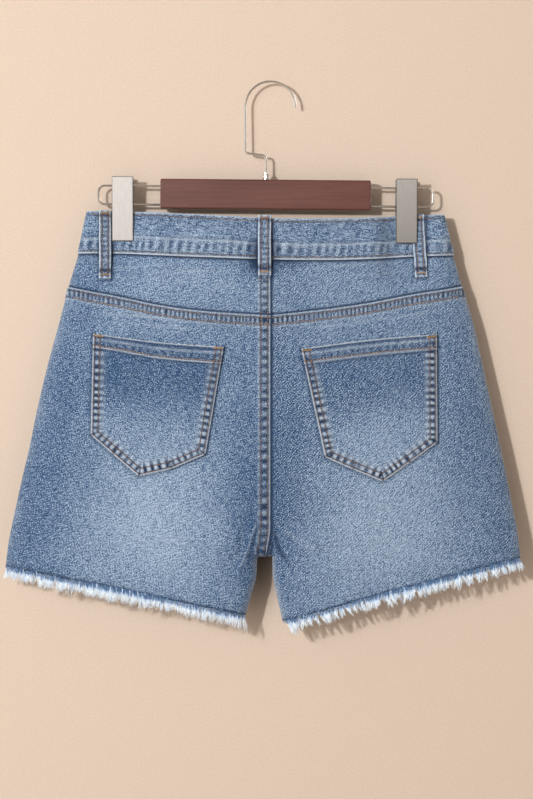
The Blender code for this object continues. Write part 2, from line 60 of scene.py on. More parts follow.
# %% Short ways to join nodes
class Nodes:
    """Adds and joins the shader nodes of one material or world."""

    def __init__(self, owner):
        self.tree = owner.node_tree
        self.shader = self.tree.nodes.get("Principled BSDF")

    def add(self, kind, **settings):
        node = self.tree.nodes.new(kind)
        for key, value in settings.items():
            setattr(node, key, value)
        return node

    def link(self, source, target):
        self.tree.links.new(source, target)

    def math(self, operation, first, second=None, clamp=False):
        node = self.add("ShaderNodeMath", operation=operation, use_clamp=clamp)
        for slot, value in enumerate((first, second)):
            if value is None:
                continue
            if isinstance(value, (int, float)):
                node.inputs[slot].default_value = value
            else:
                self.link(value, node.inputs[slot])
        return node.outputs[0]

    def span(self, value, source, target, smooth=False):
        """Carries a value from one range over to another."""
        node = self.add("ShaderNodeMapRange")
        if smooth:
            node.interpolation_type = "SMOOTHSTEP"
        for key, number in zip(("From Min", "From Max", "To Min", "To Max"), source + target):
            node.inputs[key].default_value = number
        self.link(value, node.inputs["Value"])
        return node.outputs["Result"]

    def noise(self, vector, scale, detail=2.0, rough=0.5):
        node = self.add("ShaderNodeTexNoise")
        node.inputs["Scale"].default_value = scale
        node.inputs["Detail"].default_value = detail
        node.inputs["Roughness"].default_value = rough
        self.link(vector, node.inputs["Vector"])
        return node.outputs["Fac"]

    def stretched(self, vector, scale, turn=0.0):
        node = self.add("ShaderNodeMapping")
        node.inputs["Scale"].default_value = scale
        node.inputs["Rotation"].default_value = (0, 0, turn)
        self.link(vector, node.inputs["Vector"])
        return node.outputs["Vector"]

    def split(self, vector):
        """The X, Y and Z of a vector."""
        node = self.add("ShaderNodeSeparateXYZ")
        self.link(vector, node.inputs["Vector"])
        return node.outputs

    def tone(self):
        """The three amounts that the tone attribute holds: wash, wear and shade."""
        node = self.add("ShaderNodeSeparateColor")
        source = self.add("ShaderNodeAttribute", attribute_name="tone")
        self.link(source.outputs["Color"], node.inputs["Color"])
        return node.outputs["Red"], node.outputs["Green"], node.outputs["Blue"]

    def ramp(self, source, stops):
        node = self.add("ShaderNodeValToRGB")
        elements = node.color_ramp.elements
        while len(elements) < len(stops):
            elements.new(0.5)
        for element, (place, colour) in zip(elements, stops):
            element.position = place
            element.color = (*colour, 1)
        self.link(source, node.inputs["Fac"])
        return node.outputs["Color"]

    def blend(self, amount, first, second):
        node = self.add("ShaderNodeMix", data_type="RGBA")
        for slot, value in ((6, first), (7, second)):
            if isinstance(value, tuple):
                node.inputs[slot].default_value = (*value, 1)
            else:
                self.link(value, node.inputs[slot])
        self.link(amount, node.inputs[0])
        return node.outputs[2]

    def bump(self, height, distance, strength=1.0):
        node = self.add("ShaderNodeBump")
        node.inputs["Distance"].default_value = distance
        node.inputs["Strength"].default_value = strength
        self.link(height, node.inputs["Height"])
        self.link(node.outputs["Normal"], self.shader.inputs["Normal"])


print("Node helpers ready")

# %% A new material
def new_material(name, roughness, metallic=0.0, specular=0.5):
    """A material and the Nodes helper that fills it."""
    made = bpy.data.materials.new(name)
    made.use_nodes = True
    nodes = Nodes(made)
    nodes.shader.inputs["Roughness"].default_value = roughness
    nodes.shader.inputs["Metallic"].default_value = metallic
    nodes.shader.inputs["Specular IOR Level"].default_value = specular
    return made, nodes


def scaled(colour, amount):
    return tuple(amount * value for value in colour)


print("Materials start from Blender's Principled shader")

# %% [markdown]
# ## The stage
#
# The shorts hang in front of a plain warm wall over a plain floor. The wall is close behind, so
# that the cloth throws its soft shadow there; it shows from its front only and throws no shadow
# itself, so the garment can be seen and lit from behind as well. Little light gets in between the
# legs, so a painted shade darkens the wall's colour behind the crotch.

# %% Wall and floor
WALL_POINT = (0, 20.0 * MM, -150.0 * MM)     # just clear of the front waist
WALL_LEAN = math.atan(0.038)                 # the shorts hang away from the wall lower down
WALL_COLOUR = (0.80, 0.685, 0.588)
# a shade painted into the wall's colour behind the crotch: its middle, its reach and its darkest
# share
SHADE_POINT = (-14.0 * MM, -320.0 * MM, 0)   # on the wall, from its own middle: behind the crotch
SHADE_REACH = (40.0 * MM, 80.0 * MM, 1)
SHADE_DEPTH = 0.24
FLOOR_Z = -780.0 * MM
FLOOR_COLOUR = (0.62, 0.55, 0.48)


def stage_plane(name, size, colour, roughness):
    made = bmesh.new()
    bmesh.ops.create_grid(made, x_segments=1, y_segments=1, size=0.5)
    bmesh.ops.scale(made, vec=(size, size, 1), verts=made.verts)
    mesh = bpy.data.meshes.new(name)
    made.to_mesh(mesh)
    made.free()
    plane = bpy.data.objects.new(name, mesh)
    bpy.context.scene.collection.objects.link(plane)
    finish, n = new_material(name, roughness, specular=0.1)
    n.shader.inputs["Base Color"].default_value = (*colour, 1)
    mesh.materials.append(finish)
    return plane, n


def show_front_only(n):
    """From behind, the plane lets the view through."""
    mix = n.add("ShaderNodeMixShader")
    n.link(n.add("ShaderNodeNewGeometry").outputs["Backfacing"], mix.inputs["Fac"])
    n.link(n.shader.outputs["BSDF"], mix.inputs[1])
    n.link(n.add("ShaderNodeBsdfTransparent").outputs["BSDF"], mix.inputs[2])
    n.link(mix.outputs["Shader"], n.tree.nodes["Material Output"].inputs["Surface"])


def plaster_and_painted_shade(n, colour):
    """A fine grain in a stage colour, and a painted shade behind the crotch, between the legs'
    inner edges.
    """
    where = n.add("ShaderNodeTexCoord").outputs["Object"]
    grain = n.noise(where, 520.0, 3.0, 0.7)
    tint = n.ramp(grain, [(0.25, scaled(colour, 0.93)), (0.75, scaled(colour, 1.07))])
    from_crotch = n.add("ShaderNodeMapping", vector_type="TEXTURE")
    from_crotch.inputs["Location"].default_value = SHADE_POINT
    from_crotch.inputs["Scale"].default_value = SHADE_REACH
    away = n.add("ShaderNodeVectorMath", operation="LENGTH")
    shaded = n.add("ShaderNodeVectorMath", operation="SCALE")
    n.link(where, from_crotch.inputs["Vector"])
    n.link(from_crotch.outputs["Vector"], away.inputs[0])
    n.link(tint, shaded.inputs[0])
    n.link(n.span(away.outputs["Value"], (0.0, 1.0), (SHADE_DEPTH, 1.0), True),
           shaded.inputs["Scale"])
    n.link(shaded.outputs["Vector"], n.shader.inputs["Base Color"])


wall, wall_nodes = stage_plane("wall", 6, WALL_COLOUR, 0.9)
wall.rotation_euler = (math.pi / 2 + WALL_LEAN, 0, 0)
wall.location = WALL_POINT
wall.visible_shadow = False
plaster_and_painted_shade(wall_nodes, WALL_COLOUR)
show_front_only(wall_nodes)
floor, _ = stage_plane("floor", 8, FLOOR_COLOUR, 0.8)
floor.location = (0, 0, FLOOR_Z)
print("The wall is", round(WALL_POINT[1] / MM), "mm behind the hook")

# %% Camera and light
CAMERA_DISTANCE = 2.7
FRAME_HEIGHT = 799 * MM
FRAME_CENTRE = Vector((-3.9 * MM, -6 * MM, -317.5 * MM))
LAMP_TARGET = (0, 0, -0.34)
WARM_WHITE = (1.0, 0.97, 0.93)

camera_data = bpy.data.cameras.new("camera")
camera_data.lens = camera_data.sensor_width * CAMERA_DISTANCE / FRAME_HEIGHT
camera = bpy.data.objects.new("camera", camera_data)
camera.location = FRAME_CENTRE + Vector((0, -CAMERA_DISTANCE, 0))
camera.rotation_euler = (math.pi / 2, 0, 0)
bpy.context.scene.collection.objects.link(camera)
bpy.context.scene.camera = camera
bpy.context.scene.view_settings.view_transform = "Standard"


def area_light(name, place, size, power, colour=WARM_WHITE):
    data = bpy.data.lights.new(name, "AREA")
    data.shape = "DISK"
    data.size = size
    data.energy = power
    data.color = colour
    lamp = bpy.data.objects.new(name, data)
    lamp.location = place
    aim = Vector(LAMP_TARGET) - Vector(place)
    lamp.rotation_euler = aim.to_track_quat("-Z", "Y").to_euler()
    bpy.context.scene.collection.objects.link(lamp)
    return data


area_light("key", (-1.35, -2.90, 0.28), 0.16, 51)
area_light("key_soft", (-1.45, -2.75, 0.45), 1.0, 16)
for lamp_data in (area_light("rear_key", (1.1, 1.9, 0.5), 0.7, 40),
                  area_light("rear_fill", (-1.3, 1.7, -0.1), 0.9, 20, (0.97, 0.98, 1.0)),
                  area_light("rear_wash", (0.0, 2.2, 0.9), 2.0, 18, (1.0, 0.98, 0.96))):
    lamp_data.cycles.max_bounces = 0      # nothing behind the wall brightens the front's shadows
print("Camera", CAMERA_DISTANCE, "m away;", len(bpy.data.lights), "lamps")

# %% The studio around the stage
world = bpy.data.worlds.new("studio")
bpy.context.scene.world = world
world.use_nodes = True
studio = Nodes(world)
sky = studio.tree.nodes["Background"]
direction = studio.split(studio.add("ShaderNodeTexCoord").outputs["Generated"])
# warm and bright to the sides, dull in front
sideways = studio.math("ABSOLUTE", direction["X"])
studio.link(studio.ramp(sideways, [(0.25, (0.48, 0.43, 0.39)), (0.95, (1.0, 0.88, 0.78))]),
            sky.inputs["Color"])
# dim behind the wall, so that the shadows on it stay deep, and dimmer below than above
depth = studio.span(direction["Y"], (-0.05, 0.30), (0.56, 0.05))
height = studio.span(direction["Z"], (-0.7, 0.3), (0.45, 1.15))
studio.link(studio.math("MULTIPLY", depth, height), sky.inputs["Strength"])
print("Studio light set")

# %% [markdown]
# ## The form
#
# All the cloth lies on one form: the inner face of the garment. Each row of a table is a section,
# from the centre seam or inseam (s = 0) to the side seam (s = 1). These are the same named
# sections as the model's own source holds, so a fine piece lies exactly where its plain one does.

# %% Sections of the form, in millimetres
CLOTH, BAND, LOOP_WALL = 1.2, 2.4, 1.4
SEAM_GAP, EDGE_LIP = 0.15, 0.5
FRONT_FULLNESS, FRONT_DIP = 0.8, 9.0
SIDE_ROUNDNESS, SEAT_STRETCH = 6, 2.0
INNER_ROUNDING, EDGE_ROUNDING = 60.0, 6.0

Row = namedtuple("Row", "name side_x side_z inner_x inner_z sag depth")
LEFT_ROWS = [
    Row("waist_top", -182.3, -129.5, 0.0, -136.8, -1.2, 12.0),
    Row("waist_seam", -191.3, -172.2, 0.0, -178.4, -0.4, 13.0),
    Row("yoke_seam", -201.0, -205.0, 0.0, -233.3, 6.0, 15.0),
    Row("pocket_top", -209.8, -238.6, 0.0, -268.0, 5.0, 16.0),
    Row("pocket_middle", -220.4, -277.4, 0.0, -314.0, 3.0, 16.5),
    Row("pocket_low", -233.1, -330.0, 0.0, -362.0, 2.0, 16.5),
    Row("seat", -240.0, -364.6, 0.0, -405.0, 2.0, 16.0),
    Row("above_crotch", -248.4, -400.0, 0.0, -443.0, 2.0, 15.0),
    Row("crotch", -254.0, -426.0, -4.2, -473.4, 2.0, 14.0),
    Row("crotch_turn", -255.8, -434.0, -11.5, -473.8, 2.0, 13.8),
    Row("leg_top", -257.6, -442.5, -14.8, -480.0, 2.0, 13.5),
    Row("leg_middle", -260.4, -456.0, -15.6, -494.0, 2.0, 13.0),
    Row("leg_low", -262.6, -471.0, -20.5, -513.0, 1.0, 12.5),
    Row("hem", -264.3, -486.3, -26.5, -535.0, -0.8, 12.0),
]
RIGHT_ROWS = [
    Row("waist_top", 172.4, -133.0, 0.0, -136.8, 1.6, 12.0),
    Row("waist_seam", 182.2, -174.0, 0.0, -178.4, 2.2, 13.0),
    Row("yoke_seam", 190.7, -204.6, 0.0, -233.3, 3.0, 15.0),
    Row("pocket_top", 201.4, -239.0, 0.0, -268.0, 3.0, 16.0),
    Row("pocket_middle", 212.0, -286.0, 0.0, -314.0, 2.0, 16.5),
    Row("pocket_low", 221.6, -330.0, 0.0, -362.0, 2.0, 16.5),
    Row("seat", 228.6, -362.0, 0.0, -405.0, 1.0, 16.0),
    Row("above_crotch", 236.0, -398.0, 0.0, -443.0, 0.0, 15.0),
    Row("crotch", 241.3, -424.0, -4.2, -473.4, 0.0, 14.0),
    Row("crotch_turn", 242.9, -432.0, 3.0, -473.8, 0.0, 13.8),
    Row("leg_top", 244.4, -439.5, 3.4, -480.0, 0.0, 13.5),
    Row("leg_middle", 246.4, -450.5, 4.0, -494.0, 0.0, 13.0),
    Row("leg_low", 248.0, -464.0, 7.5, -513.5, -1.0, 12.5),
    Row("hem", 249.6, -478.2, 14.2, -541.0, -1.5, 12.0),
]
HALVES = {"left": LEFT_ROWS, "right": RIGHT_ROWS}
OUTWARD = {"left": -1.0, "right": 1.0}
TOWARD = {"back": -1.0, "front": 1.0}
ROW = {row.name: index for index, row in enumerate(LEFT_ROWS)}
CLIP_X = (-147.6, 136.4)
PINCH_REACH, PINCH_POWER = 26.0, 4
PINCH_END_Z = (-163.0, -222.0)
CLIP_LIFT, LIFT_REACH = 1.3, 34.0


print(len(LEFT_ROWS), "sections from waist to hem in each half")

# %% Places on the form
def smooth_step(value, start, end):
    """0 before start, 1 after end, and an eased rise between them."""
    share = np.clip((value - start) / (end - start), 0.0, 1.0)
    return share * share * (3.0 - 2.0 * share)


def blend_column(half, column, place):
    """One column of the table between its rows: smooth, but with a corner at the crotch."""
    values = np.array([getattr(row, column) for row in HALVES[half]])
    steps = np.diff(values)
    slopes = np.concatenate(([steps[0]], np.zeros(len(steps) - 1), [steps[-1]]))
    for index in range(1, len(steps)):
        before, after = steps[index - 1], steps[index]
        if before * after > 0.0:
            slopes[index] = 2.0 * before * after / (before + after)
    leave, arrive = slopes[:-1].copy(), slopes[1:].copy()
    if column.startswith("inner"):
        arrive[ROW["crotch"] - 1] = steps[ROW["crotch"] - 1]
        leave[ROW["crotch"]] = steps[ROW["crotch"]]
    place = np.clip(place, 0.0, len(values) - 1.0)
    low = np.minimum(place.astype(int), len(values) - 2)
    t = place - low
    return (values[low] * (2 * t**3 - 3 * t**2 + 1) + leave[low] * (t**3 - 2 * t**2 + t)
            + values[low + 1] * (3 * t**2 - 2 * t**3) + arrive[low] * (t**3 - t**2))


def flat_place(half, face, s, row):
    """Where points of the sections lie in the middle plane, as arrays of x and z."""
    inner_x, inner_z = blend_column(half, "inner_x", row), blend_column(half, "inner_z", row)
    x = inner_x + (blend_column(half, "side_x", row) - inner_x) * s
    z = inner_z + (blend_column(half, "side_z", row) - inner_z) * s
    z = z - blend_column(half, "sag", row) * np.sin(np.pi * s)
    above_seat = 1.0 - smooth_step(row, ROW["waist_seam"], ROW["above_crotch"])
    for middle in CLIP_X:
        z = z + CLIP_LIFT * above_seat * np.exp(-((x - middle) / LIFT_REACH) ** 2)
    if face == "front":
        z = z - FRONT_DIP * above_seat * (1.0 - s * s) ** 2
    return x, z


def soft_inner(half, row):
    """The inner edge that the depth follows, from the seat seam smoothly to the inseam."""
    leg = blend_column(half, "inner_x", np.maximum(row, ROW["leg_middle"]))
    return leg * smooth_step(row, ROW["seat"], ROW["leg_middle"])


print("Sections join smoothly")

# %% Depth of the form
def form_depth(half, face, s, row):
    """How far the form stands off the middle plane."""
    x, z = flat_place(half, face, s, row)
    inner_x = blend_column(half, "inner_x", row)
    across = np.maximum(0.0, OUTWARD[half] * (x - soft_inner(half, row)))
    crotch_z = HALVES[half][ROW["crotch"]].inner_z
    up_seam = np.where(row < ROW["crotch"], blend_column(half, "inner_z", row) - crotch_z, 0.0)
    up_seam = up_seam / SEAT_STRETCH
    near = np.minimum(1.0, np.hypot(across, up_seam) / INNER_ROUNDING)
    edge = np.minimum(1.0, np.hypot(x - inner_x, up_seam) / EDGE_ROUNDING)
    inner_round = np.sqrt(1.0 - (1.0 - near) ** 3) * np.sqrt(1.0 - (1.0 - edge) ** 2)
    side_round = np.sqrt(np.maximum(0.0, 1.0 - np.minimum(1.0, s) ** SIDE_ROUNDNESS))
    pressed = np.zeros_like(x)
    for middle in CLIP_X:
        pressed = np.maximum(pressed, np.exp(-((x - middle) / PINCH_REACH) ** PINCH_POWER))
    pressed = pressed * smooth_step(z, PINCH_END_Z[1], PINCH_END_Z[0])
    depth = blend_column(half, "depth", row) * inner_round * side_round * (1.0 - pressed)
    return SEAM_GAP + EDGE_LIP + depth * (FRONT_FULLNESS if face == "front" else 1.0)


def form_points(half, face, s, row):
    """Points of the form, in an array whose last axis is x, y, z."""
    s, row = np.broadcast_arrays(np.asarray(s, float), np.asarray(row, float))
    x, z = flat_place(half, face, s, row)
    return np.stack((x, TOWARD[face] * form_depth(half, face, s, row), z), axis=-1)


def place_on_form(face, x, z):
    """The half, s and row under points (x, z) of the middle plane, all in one half."""
    half = "left" if np.mean(x) < 0 else "right"
    low, high = np.zeros_like(x), np.full_like(x, float(ROW["hem"]))
    for _ in range(30):
        middle = (low + high) / 2
        inner = blend_column(half, "inner_x", middle)
        s = np.maximum(0.0, (x - inner) / (blend_column(half, "side_x", middle) - inner))
        above = flat_place(half, face, s, middle)[1] > z
        low, high = np.where(above, middle, low), np.where(above, high, middle)
    return half, s, low


print("Form: waist", round(RIGHT_ROWS[0].side_x - LEFT_ROWS[0].side_x), "mm across inside")

# %% [markdown]
# ## Random unevenness
#
# Real cloth is never even. Two small helpers give smooth seeded noise along a line and over an
# area, so that every run gives the same creases. A pucker is a wave whose spacing wanders.

# %% Smooth seeded noise
LINE_KNOTS, AREA_KNOTS = 4096, 256         # how many knots there are before the noise repeats
LINE_START, AREA_START = 1000.0, 500.0     # keeps every place above 0


def knots_round(place):
    """The knots before and after each place, and the eased share of the way between them."""
    low = np.floor(place).astype(int)
    share = place - low
    return low, low + 1, share * share * (3 - 2 * share)


def noise_line(along, cell, seed):
    knots = np.random.default_rng(seed).uniform(-1, 1, LINE_KNOTS)
    low, high, share = knots_round(along / cell + LINE_START)
    return knots[low % LINE_KNOTS] * (1 - share) + knots[high % LINE_KNOTS] * share


def noise_area(x, z, cell, seed):
    knots = np.random.default_rng(seed).uniform(-1, 1, (AREA_KNOTS, AREA_KNOTS))
    left, right, across = knots_round(x / cell + AREA_START)
    top, bottom, down = knots_round(z / cell + AREA_START)
    left, right, top, bottom = (knot % AREA_KNOTS for knot in (left, right, top, bottom))
    upper = knots[left, top] * (1 - across) + knots[right, top] * across
    lower = knots[left, bottom] * (1 - across) + knots[right, bottom] * across
    return upper * (1 - down) + lower * down


def pucker(along, spacing, seed):
    """A wave along a seam, from -1 to 1, whose spacing and height wander."""
    drift = 0.45 * noise_line(along, spacing * 2.6, seed)
    height = 0.7 + 0.3 * noise_line(along, spacing * 1.7, seed + 1)
    wave = np.sin(2 * np.pi * (along / spacing + drift))
    return height * np.sign(wave) * np.abs(wave) ** 0.7


def bell(distance, middle, width):
    return np.exp(-((distance - middle) / width) ** 2)


print("Noise:", LINE_KNOTS, "knots along a line,", AREA_KNOTS**2, "over an area")


# %% [markdown]
# ## Washed denim
#
# Denim is a twill: dark warp threads over pale weft, so its surface shows fine slanting lines.
# Washing fades it where it rubs. Each cloth vertex therefore carries three amounts in a colour
# attribute called tone: red is how pale the cloth is drawn, with a little painted shade beside the
# middle belt loop, green how worn an edge is, and blue how much painted shade darkens it in
# grooves, folds and beside raised edges, with the dark troughs of puckers and roping. The weave
# itself is drawn by the shader in the piece's own UV map.

# %% Denim material
# the dark that the tone's blue blends in: painted shade in grooves, folds and beside raised edges,
# and the dark troughs of puckers and roping
SHADE_AND_ROPING_INDIGO = (0.022, 0.045, 0.105)
DARK_BLUE = (0.018, 0.061, 0.162)
MID_BLUE = (0.140, 0.254, 0.456)
PALE_BLUE = (0.51, 0.665, 0.86)
WORN_WHITE = (0.74, 0.86, 1.0)
TWILL_SCALE = 143.0                # sets the pitch of the twill's lines
CLOUDS = 0.30                      # how uneven the wash is over a few centimetres

# the turns, in degrees, slant the twill's lines and threads; the rest are amounts of each pattern
Weave = namedtuple("Weave", "twill_turn thread_turn twill speckle across")
WEAVES = {
    "left": Weave(28, 14, 0.30, 4.2, 1.4),
    "right": Weave(45, -36, 0.75, 5.6, 1.6),
    "band": Weave(35, 4, 0.40, 5.2, 1.9),
    "loop": Weave(20, 0, 0.25, 4.6, 1.6),
}


def denim(name, weave):
    """Washed denim, faded and worn, and darkened with painted shade, by its tone attribute."""
    made, n = new_material(name, 0.92, specular=0.18)
    n.shader.inputs["Sheen Weight"].default_value = 0.12
    n.shader.inputs["Sheen Roughness"].default_value = 0.5
    uv = n.add("ShaderNodeUVMap", uv_map="weave").outputs["UV"]
    wash, wear, shade = n.tone()

    lines = n.add("ShaderNodeTexWave", wave_type="BANDS", bands_direction="X")
    for key, value in (("Scale", TWILL_SCALE), ("Distortion", 2.2), ("Detail", 2.0),
                       ("Detail Scale", 2.5)):
        lines.inputs[key].default_value = value
    n.link(n.stretched(uv, (1, 1, 1), math.radians(weave.twill_turn)), lines.inputs["Vector"])
    patchy = n.noise(uv, 70.0, 1.0)
    twill_lines = n.math("MULTIPLY", n.math("SUBTRACT", lines.outputs["Fac"], 0.5), patchy)

    grain = n.noise(n.stretched(uv, (820, 1450, 1)), 1.0, 1.0, 0.5)
    slanted = n.stretched(uv, (1, 1, 1), math.radians(weave.thread_turn))
    thread = n.noise(n.stretched(slanted, (190, 640, 1)), 1.0, 1.0, 0.5)
    cloudy = n.noise(uv, 60.0, 4.0, 0.65)

    level = n.math("ADD", wash, n.math("MULTIPLY", twill_lines, weave.twill))
    for pattern, amount in ((grain, weave.speckle), (thread, weave.across), (cloudy, CLOUDS)):
        uneven = n.math("MULTIPLY", n.math("SUBTRACT", pattern, 0.5), amount)
        level = n.math("ADD", level, uneven, pattern is cloudy)
    colour = n.ramp(level, [(0.0, DARK_BLUE), (0.45, MID_BLUE), (1.0, PALE_BLUE)])
    rub = n.math("MULTIPLY", wear, n.math("ADD", 0.62, n.math("MULTIPLY", grain, 0.75)), True)
    # last, the tone's blue blends in painted shade, with the dark of puckers and roping
    colour = n.blend(shade, n.blend(rub, colour, WORN_WHITE), SHADE_AND_ROPING_INDIGO)
    n.link(colour, n.shader.inputs["Base Color"])
    height = n.math("ADD", n.math("MULTIPLY", lines.outputs["Fac"], 0.5), grain)
    n.bump(height, 0.35 * MM, 0.85)
    return made


def denim_reverse():
    """The inside of the cloth, where the pale weft shows."""
    made, n = new_material("denim_reverse", 0.95, specular=0.1)
    uv = n.add("ShaderNodeUVMap", uv_map="weave").outputs["UV"]
    grain = n.noise(n.stretched(uv, (300, 620, 1)), 1.0, 3.0, 0.7)
    colour = n.ramp(grain, [(0.25, (0.22, 0.28, 0.36)), (0.75, (0.58, 0.63, 0.69))])
    n.link(colour, n.shader.inputs["Base Color"])
    n.bump(grain, 0.3 * MM, 0.5)
    return made


REVERSE = denim_reverse()
DENIM = {part: denim("denim_" + part, weave) for part, weave in WEAVES.items()}
print("Denim finishes:", ", ".join(DENIM))

# %% [markdown]
# ## Laying a grid on the form
#
# A cloth piece starts as a flat grid. Its points are moved to their places, with the relief of
# folds and puckers added along the surface's own normals. The grid keeps the fine weave in a UV
# map measured along the cloth, so the twill neither stretches nor slides.

# %% Cloth from a grid
def net_normals(points, toward):
    """Unit normals of a net of points, turned to the side whose y has toward's sign."""
    normals = np.cross(np.gradient(points, axis=1), np.gradient(points, axis=0))
    normals /= np.maximum(1e-9, np.linalg.norm(normals, axis=-1, keepdims=True))
    facing = np.sum(normals[..., 1] * toward)
    return normals if facing > 0 else -normals


def cloth_piece(name, points, normals, wall, tones, finish, uv=None):
    """Makes the piece whose outer face is points; Solidify gives it a wall inwards."""
    rows, columns = points.shape[:2]
    made = bmesh.new()
    bmesh.ops.create_grid(made, x_segments=columns - 1, y_segments=rows - 1, size=0.5)
    mesh = bpy.data.meshes.new(name)
    made.to_mesh(mesh)
    made.free()
    flat = np.empty(rows * columns * 3)
    mesh.vertices.foreach_get("co", flat)
    flat = flat.reshape(-1, 3)
    i = np.rint((flat[:, 0] + 0.5) * (columns - 1)).astype(int)
    j = np.rint((flat[:, 1] + 0.5) * (rows - 1)).astype(int)
    mesh.vertices.foreach_set("co", (points[j, i] * MM).ravel())
    mesh.update()
    sample = mesh.polygons[len(mesh.polygons) // 2]
    corner = sample.vertices[0]
    if np.dot(np.array(sample.normal), normals[j[corner], i[corner]]) < 0:
        mesh.flip_normals()
    if uv is None:
        step_u = np.linalg.norm(np.diff(points, axis=1, prepend=points[:, :1]), axis=-1)
        along = np.cumsum(step_u, axis=1)
        anchor = columns // 2
        u = along - along[:, anchor:anchor + 1] + points[:, anchor:anchor + 1, 0]
        uv = np.stack((u, points[..., 2]), axis=-1)
    layer = mesh.uv_layers.new(name="weave")
    corner = np.empty(len(mesh.loops), int)
    mesh.loops.foreach_get("vertex_index", corner)
    layer.data.foreach_set("uv", (uv[j, i][corner] * MM).ravel())
    colours = np.ones((rows * columns, 4))
    for channel, tone in enumerate(tones):
        colours[:, channel] = np.clip(tone, 0.0, 1.0)[j, i]
    attribute = mesh.color_attributes.new("tone", "FLOAT_COLOR", "POINT")
    attribute.data.foreach_set("color", colours.ravel())
    mesh.shade_smooth()
    mesh.materials.append(finish)
    mesh.materials.append(REVERSE)
    piece = bpy.data.objects.new(name, mesh)
    bpy.context.scene.collection.objects.link(piece)
    shell = piece.modifiers.new("wall", "SOLIDIFY")
    shell.thickness = wall * MM
    shell.offset = -1.0
    shell.material_offset = 1
    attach(piece, "root")
    return piece


print("Cloth helper ready")

# %% Spacing of a grid's lines
def spaced(length, coarse, fine, near_start, near_end):
    """Distances from 0 to length, fine near either end and coarse between."""
    places, at = [0.0], 0.0
    while at < length:
        close = at < near_start or length - at < near_end
        at += fine if close else coarse
        places.append(at)
    return np.array(places) * (length / places[-1])


def rows_between(half, face, start, end, coarse, fine, near_start, near_end):
    """Table places from one row to another, spaced evenly in millimetres down the cloth."""
    dense = np.linspace(start, end, 600)
    x, z = flat_place(half, face, np.full(600, 0.45), dense)
    length = np.concatenate(([0.0], np.cumsum(np.hypot(np.diff(x), np.diff(z)))))
    return np.interp(spaced(length[-1], coarse, fine, near_start, near_end), length, dense)


def shares_across(width, coarse, fine, near_inner):
    """Shares of a half section, fine at the centre seam and where it turns in at the side."""
    shares = spaced(width, coarse, fine, near_inner, 0.0) / width
    turn = 1.0 - np.array([0.028, 0.02, 0.013, 0.008, 0.004, 0.0015, 0.0])
    return np.concatenate((shares[shares < 0.968], turn))


def panel_net(half, face, shares, rows):
    """The form under a panel, with its lips at the side seam and, in the leg, at the inseam."""
    points = form_points(half, face, shares[None, :], rows[:, None])
    in_leg = (rows > ROW["crotch"])[:, None]
    toward = TOWARD[face]
    inner = points[:, :1].copy()
    inner[..., 1] = np.where(in_leg, toward * SEAM_GAP, inner[..., 1])
    points[:, 0, 0] += np.where(in_leg[:, 0], 0.0, OUTWARD[half] * EDGE_LIP)
    side = points[:, -1:].copy()
    side[..., 1] = toward * SEAM_GAP
    points = np.concatenate((inner, points, side), axis=1)
    return points, net_normals(points, toward)


print("Spacing helpers ready")

# %% [markdown]
# ## Fades and folds
#
# The cloth is drawn palest in the middle of each leg, under the pockets, and darkest along the side
# seams, beside the seat seam and in the upper part of each pocket; two small patches of painted
# shade sit beside the middle belt loop. A short table holds the soft patches, another the main
# creases that are worth real shape.

# %% Wash, creases and broad waves
Patch = namedtuple("Patch", "x z wide tall amount")
BASE_WASH = 0.37
BACK_PATCHES = [
    Patch(-118, -432, 62, 62, 0.36), Patch(112, -428, 62, 66, 0.30),
    Patch(-120, -478, 95, 50, 0.10), Patch(110, -480, 95, 50, 0.10),
    Patch(-120, -340, 70, 40, 0.06), Patch(118, -340, 60, 36, 0.06),
    Patch(-84, -198, 80, 26, 0.13), Patch(-188, -194, 26, 34, -0.13),
    # the two patches beside the middle belt loop, at x -16 and 10, are painted shade
    Patch(-16, -183, 12, 16, -0.16), Patch(62, -200, 70, 28, 0.04),
    Patch(-125, -235, 80, 18, 0.05), Patch(-14, -450, 28, 72, -0.29),
    Patch(12, -450, 26, 70, -0.21), Patch(-24, -330, 22, 80, -0.08),
    Patch(22, -330, 24, 90, -0.23), Patch(-250, -420, 42, 120, -0.24),
    Patch(236, -420, 45, 120, -0.20), Patch(-205, -300, 36, 90, -0.14),
    Patch(196, -300, 36, 90, -0.14), Patch(10, -185, 26, 20, -0.10),
]
FRONT_PATCHES = [
    Patch(-118, -380, 60, 90, 0.28), Patch(112, -380, 60, 90, 0.26),
    Patch(-95, -210, 80, 40, 0.06), Patch(90, -210, 80, 40, 0.06),
    Patch(0, -440, 34, 70, -0.12), Patch(-245, -400, 45, 140, -0.10),
    Patch(232, -400, 45, 140, -0.10),
]


def wash_and_shade_at(face, x, z):
    """How pale the cloth is drawn at a place, darkened by painted shade beside the middle belt
    loop.
    """
    wash = BASE_WASH + 0.045 * noise_area(x, z, 26, 11) + 0.03 * noise_area(x, z, 9, 12)
    for patch in BACK_PATCHES if face == "back" else FRONT_PATCHES:
        spread = ((x - patch.x) / patch.wide) ** 2 + ((z - patch.z) / patch.tall) ** 2
        wash = wash + patch.amount * np.exp(-spread)
    return wash
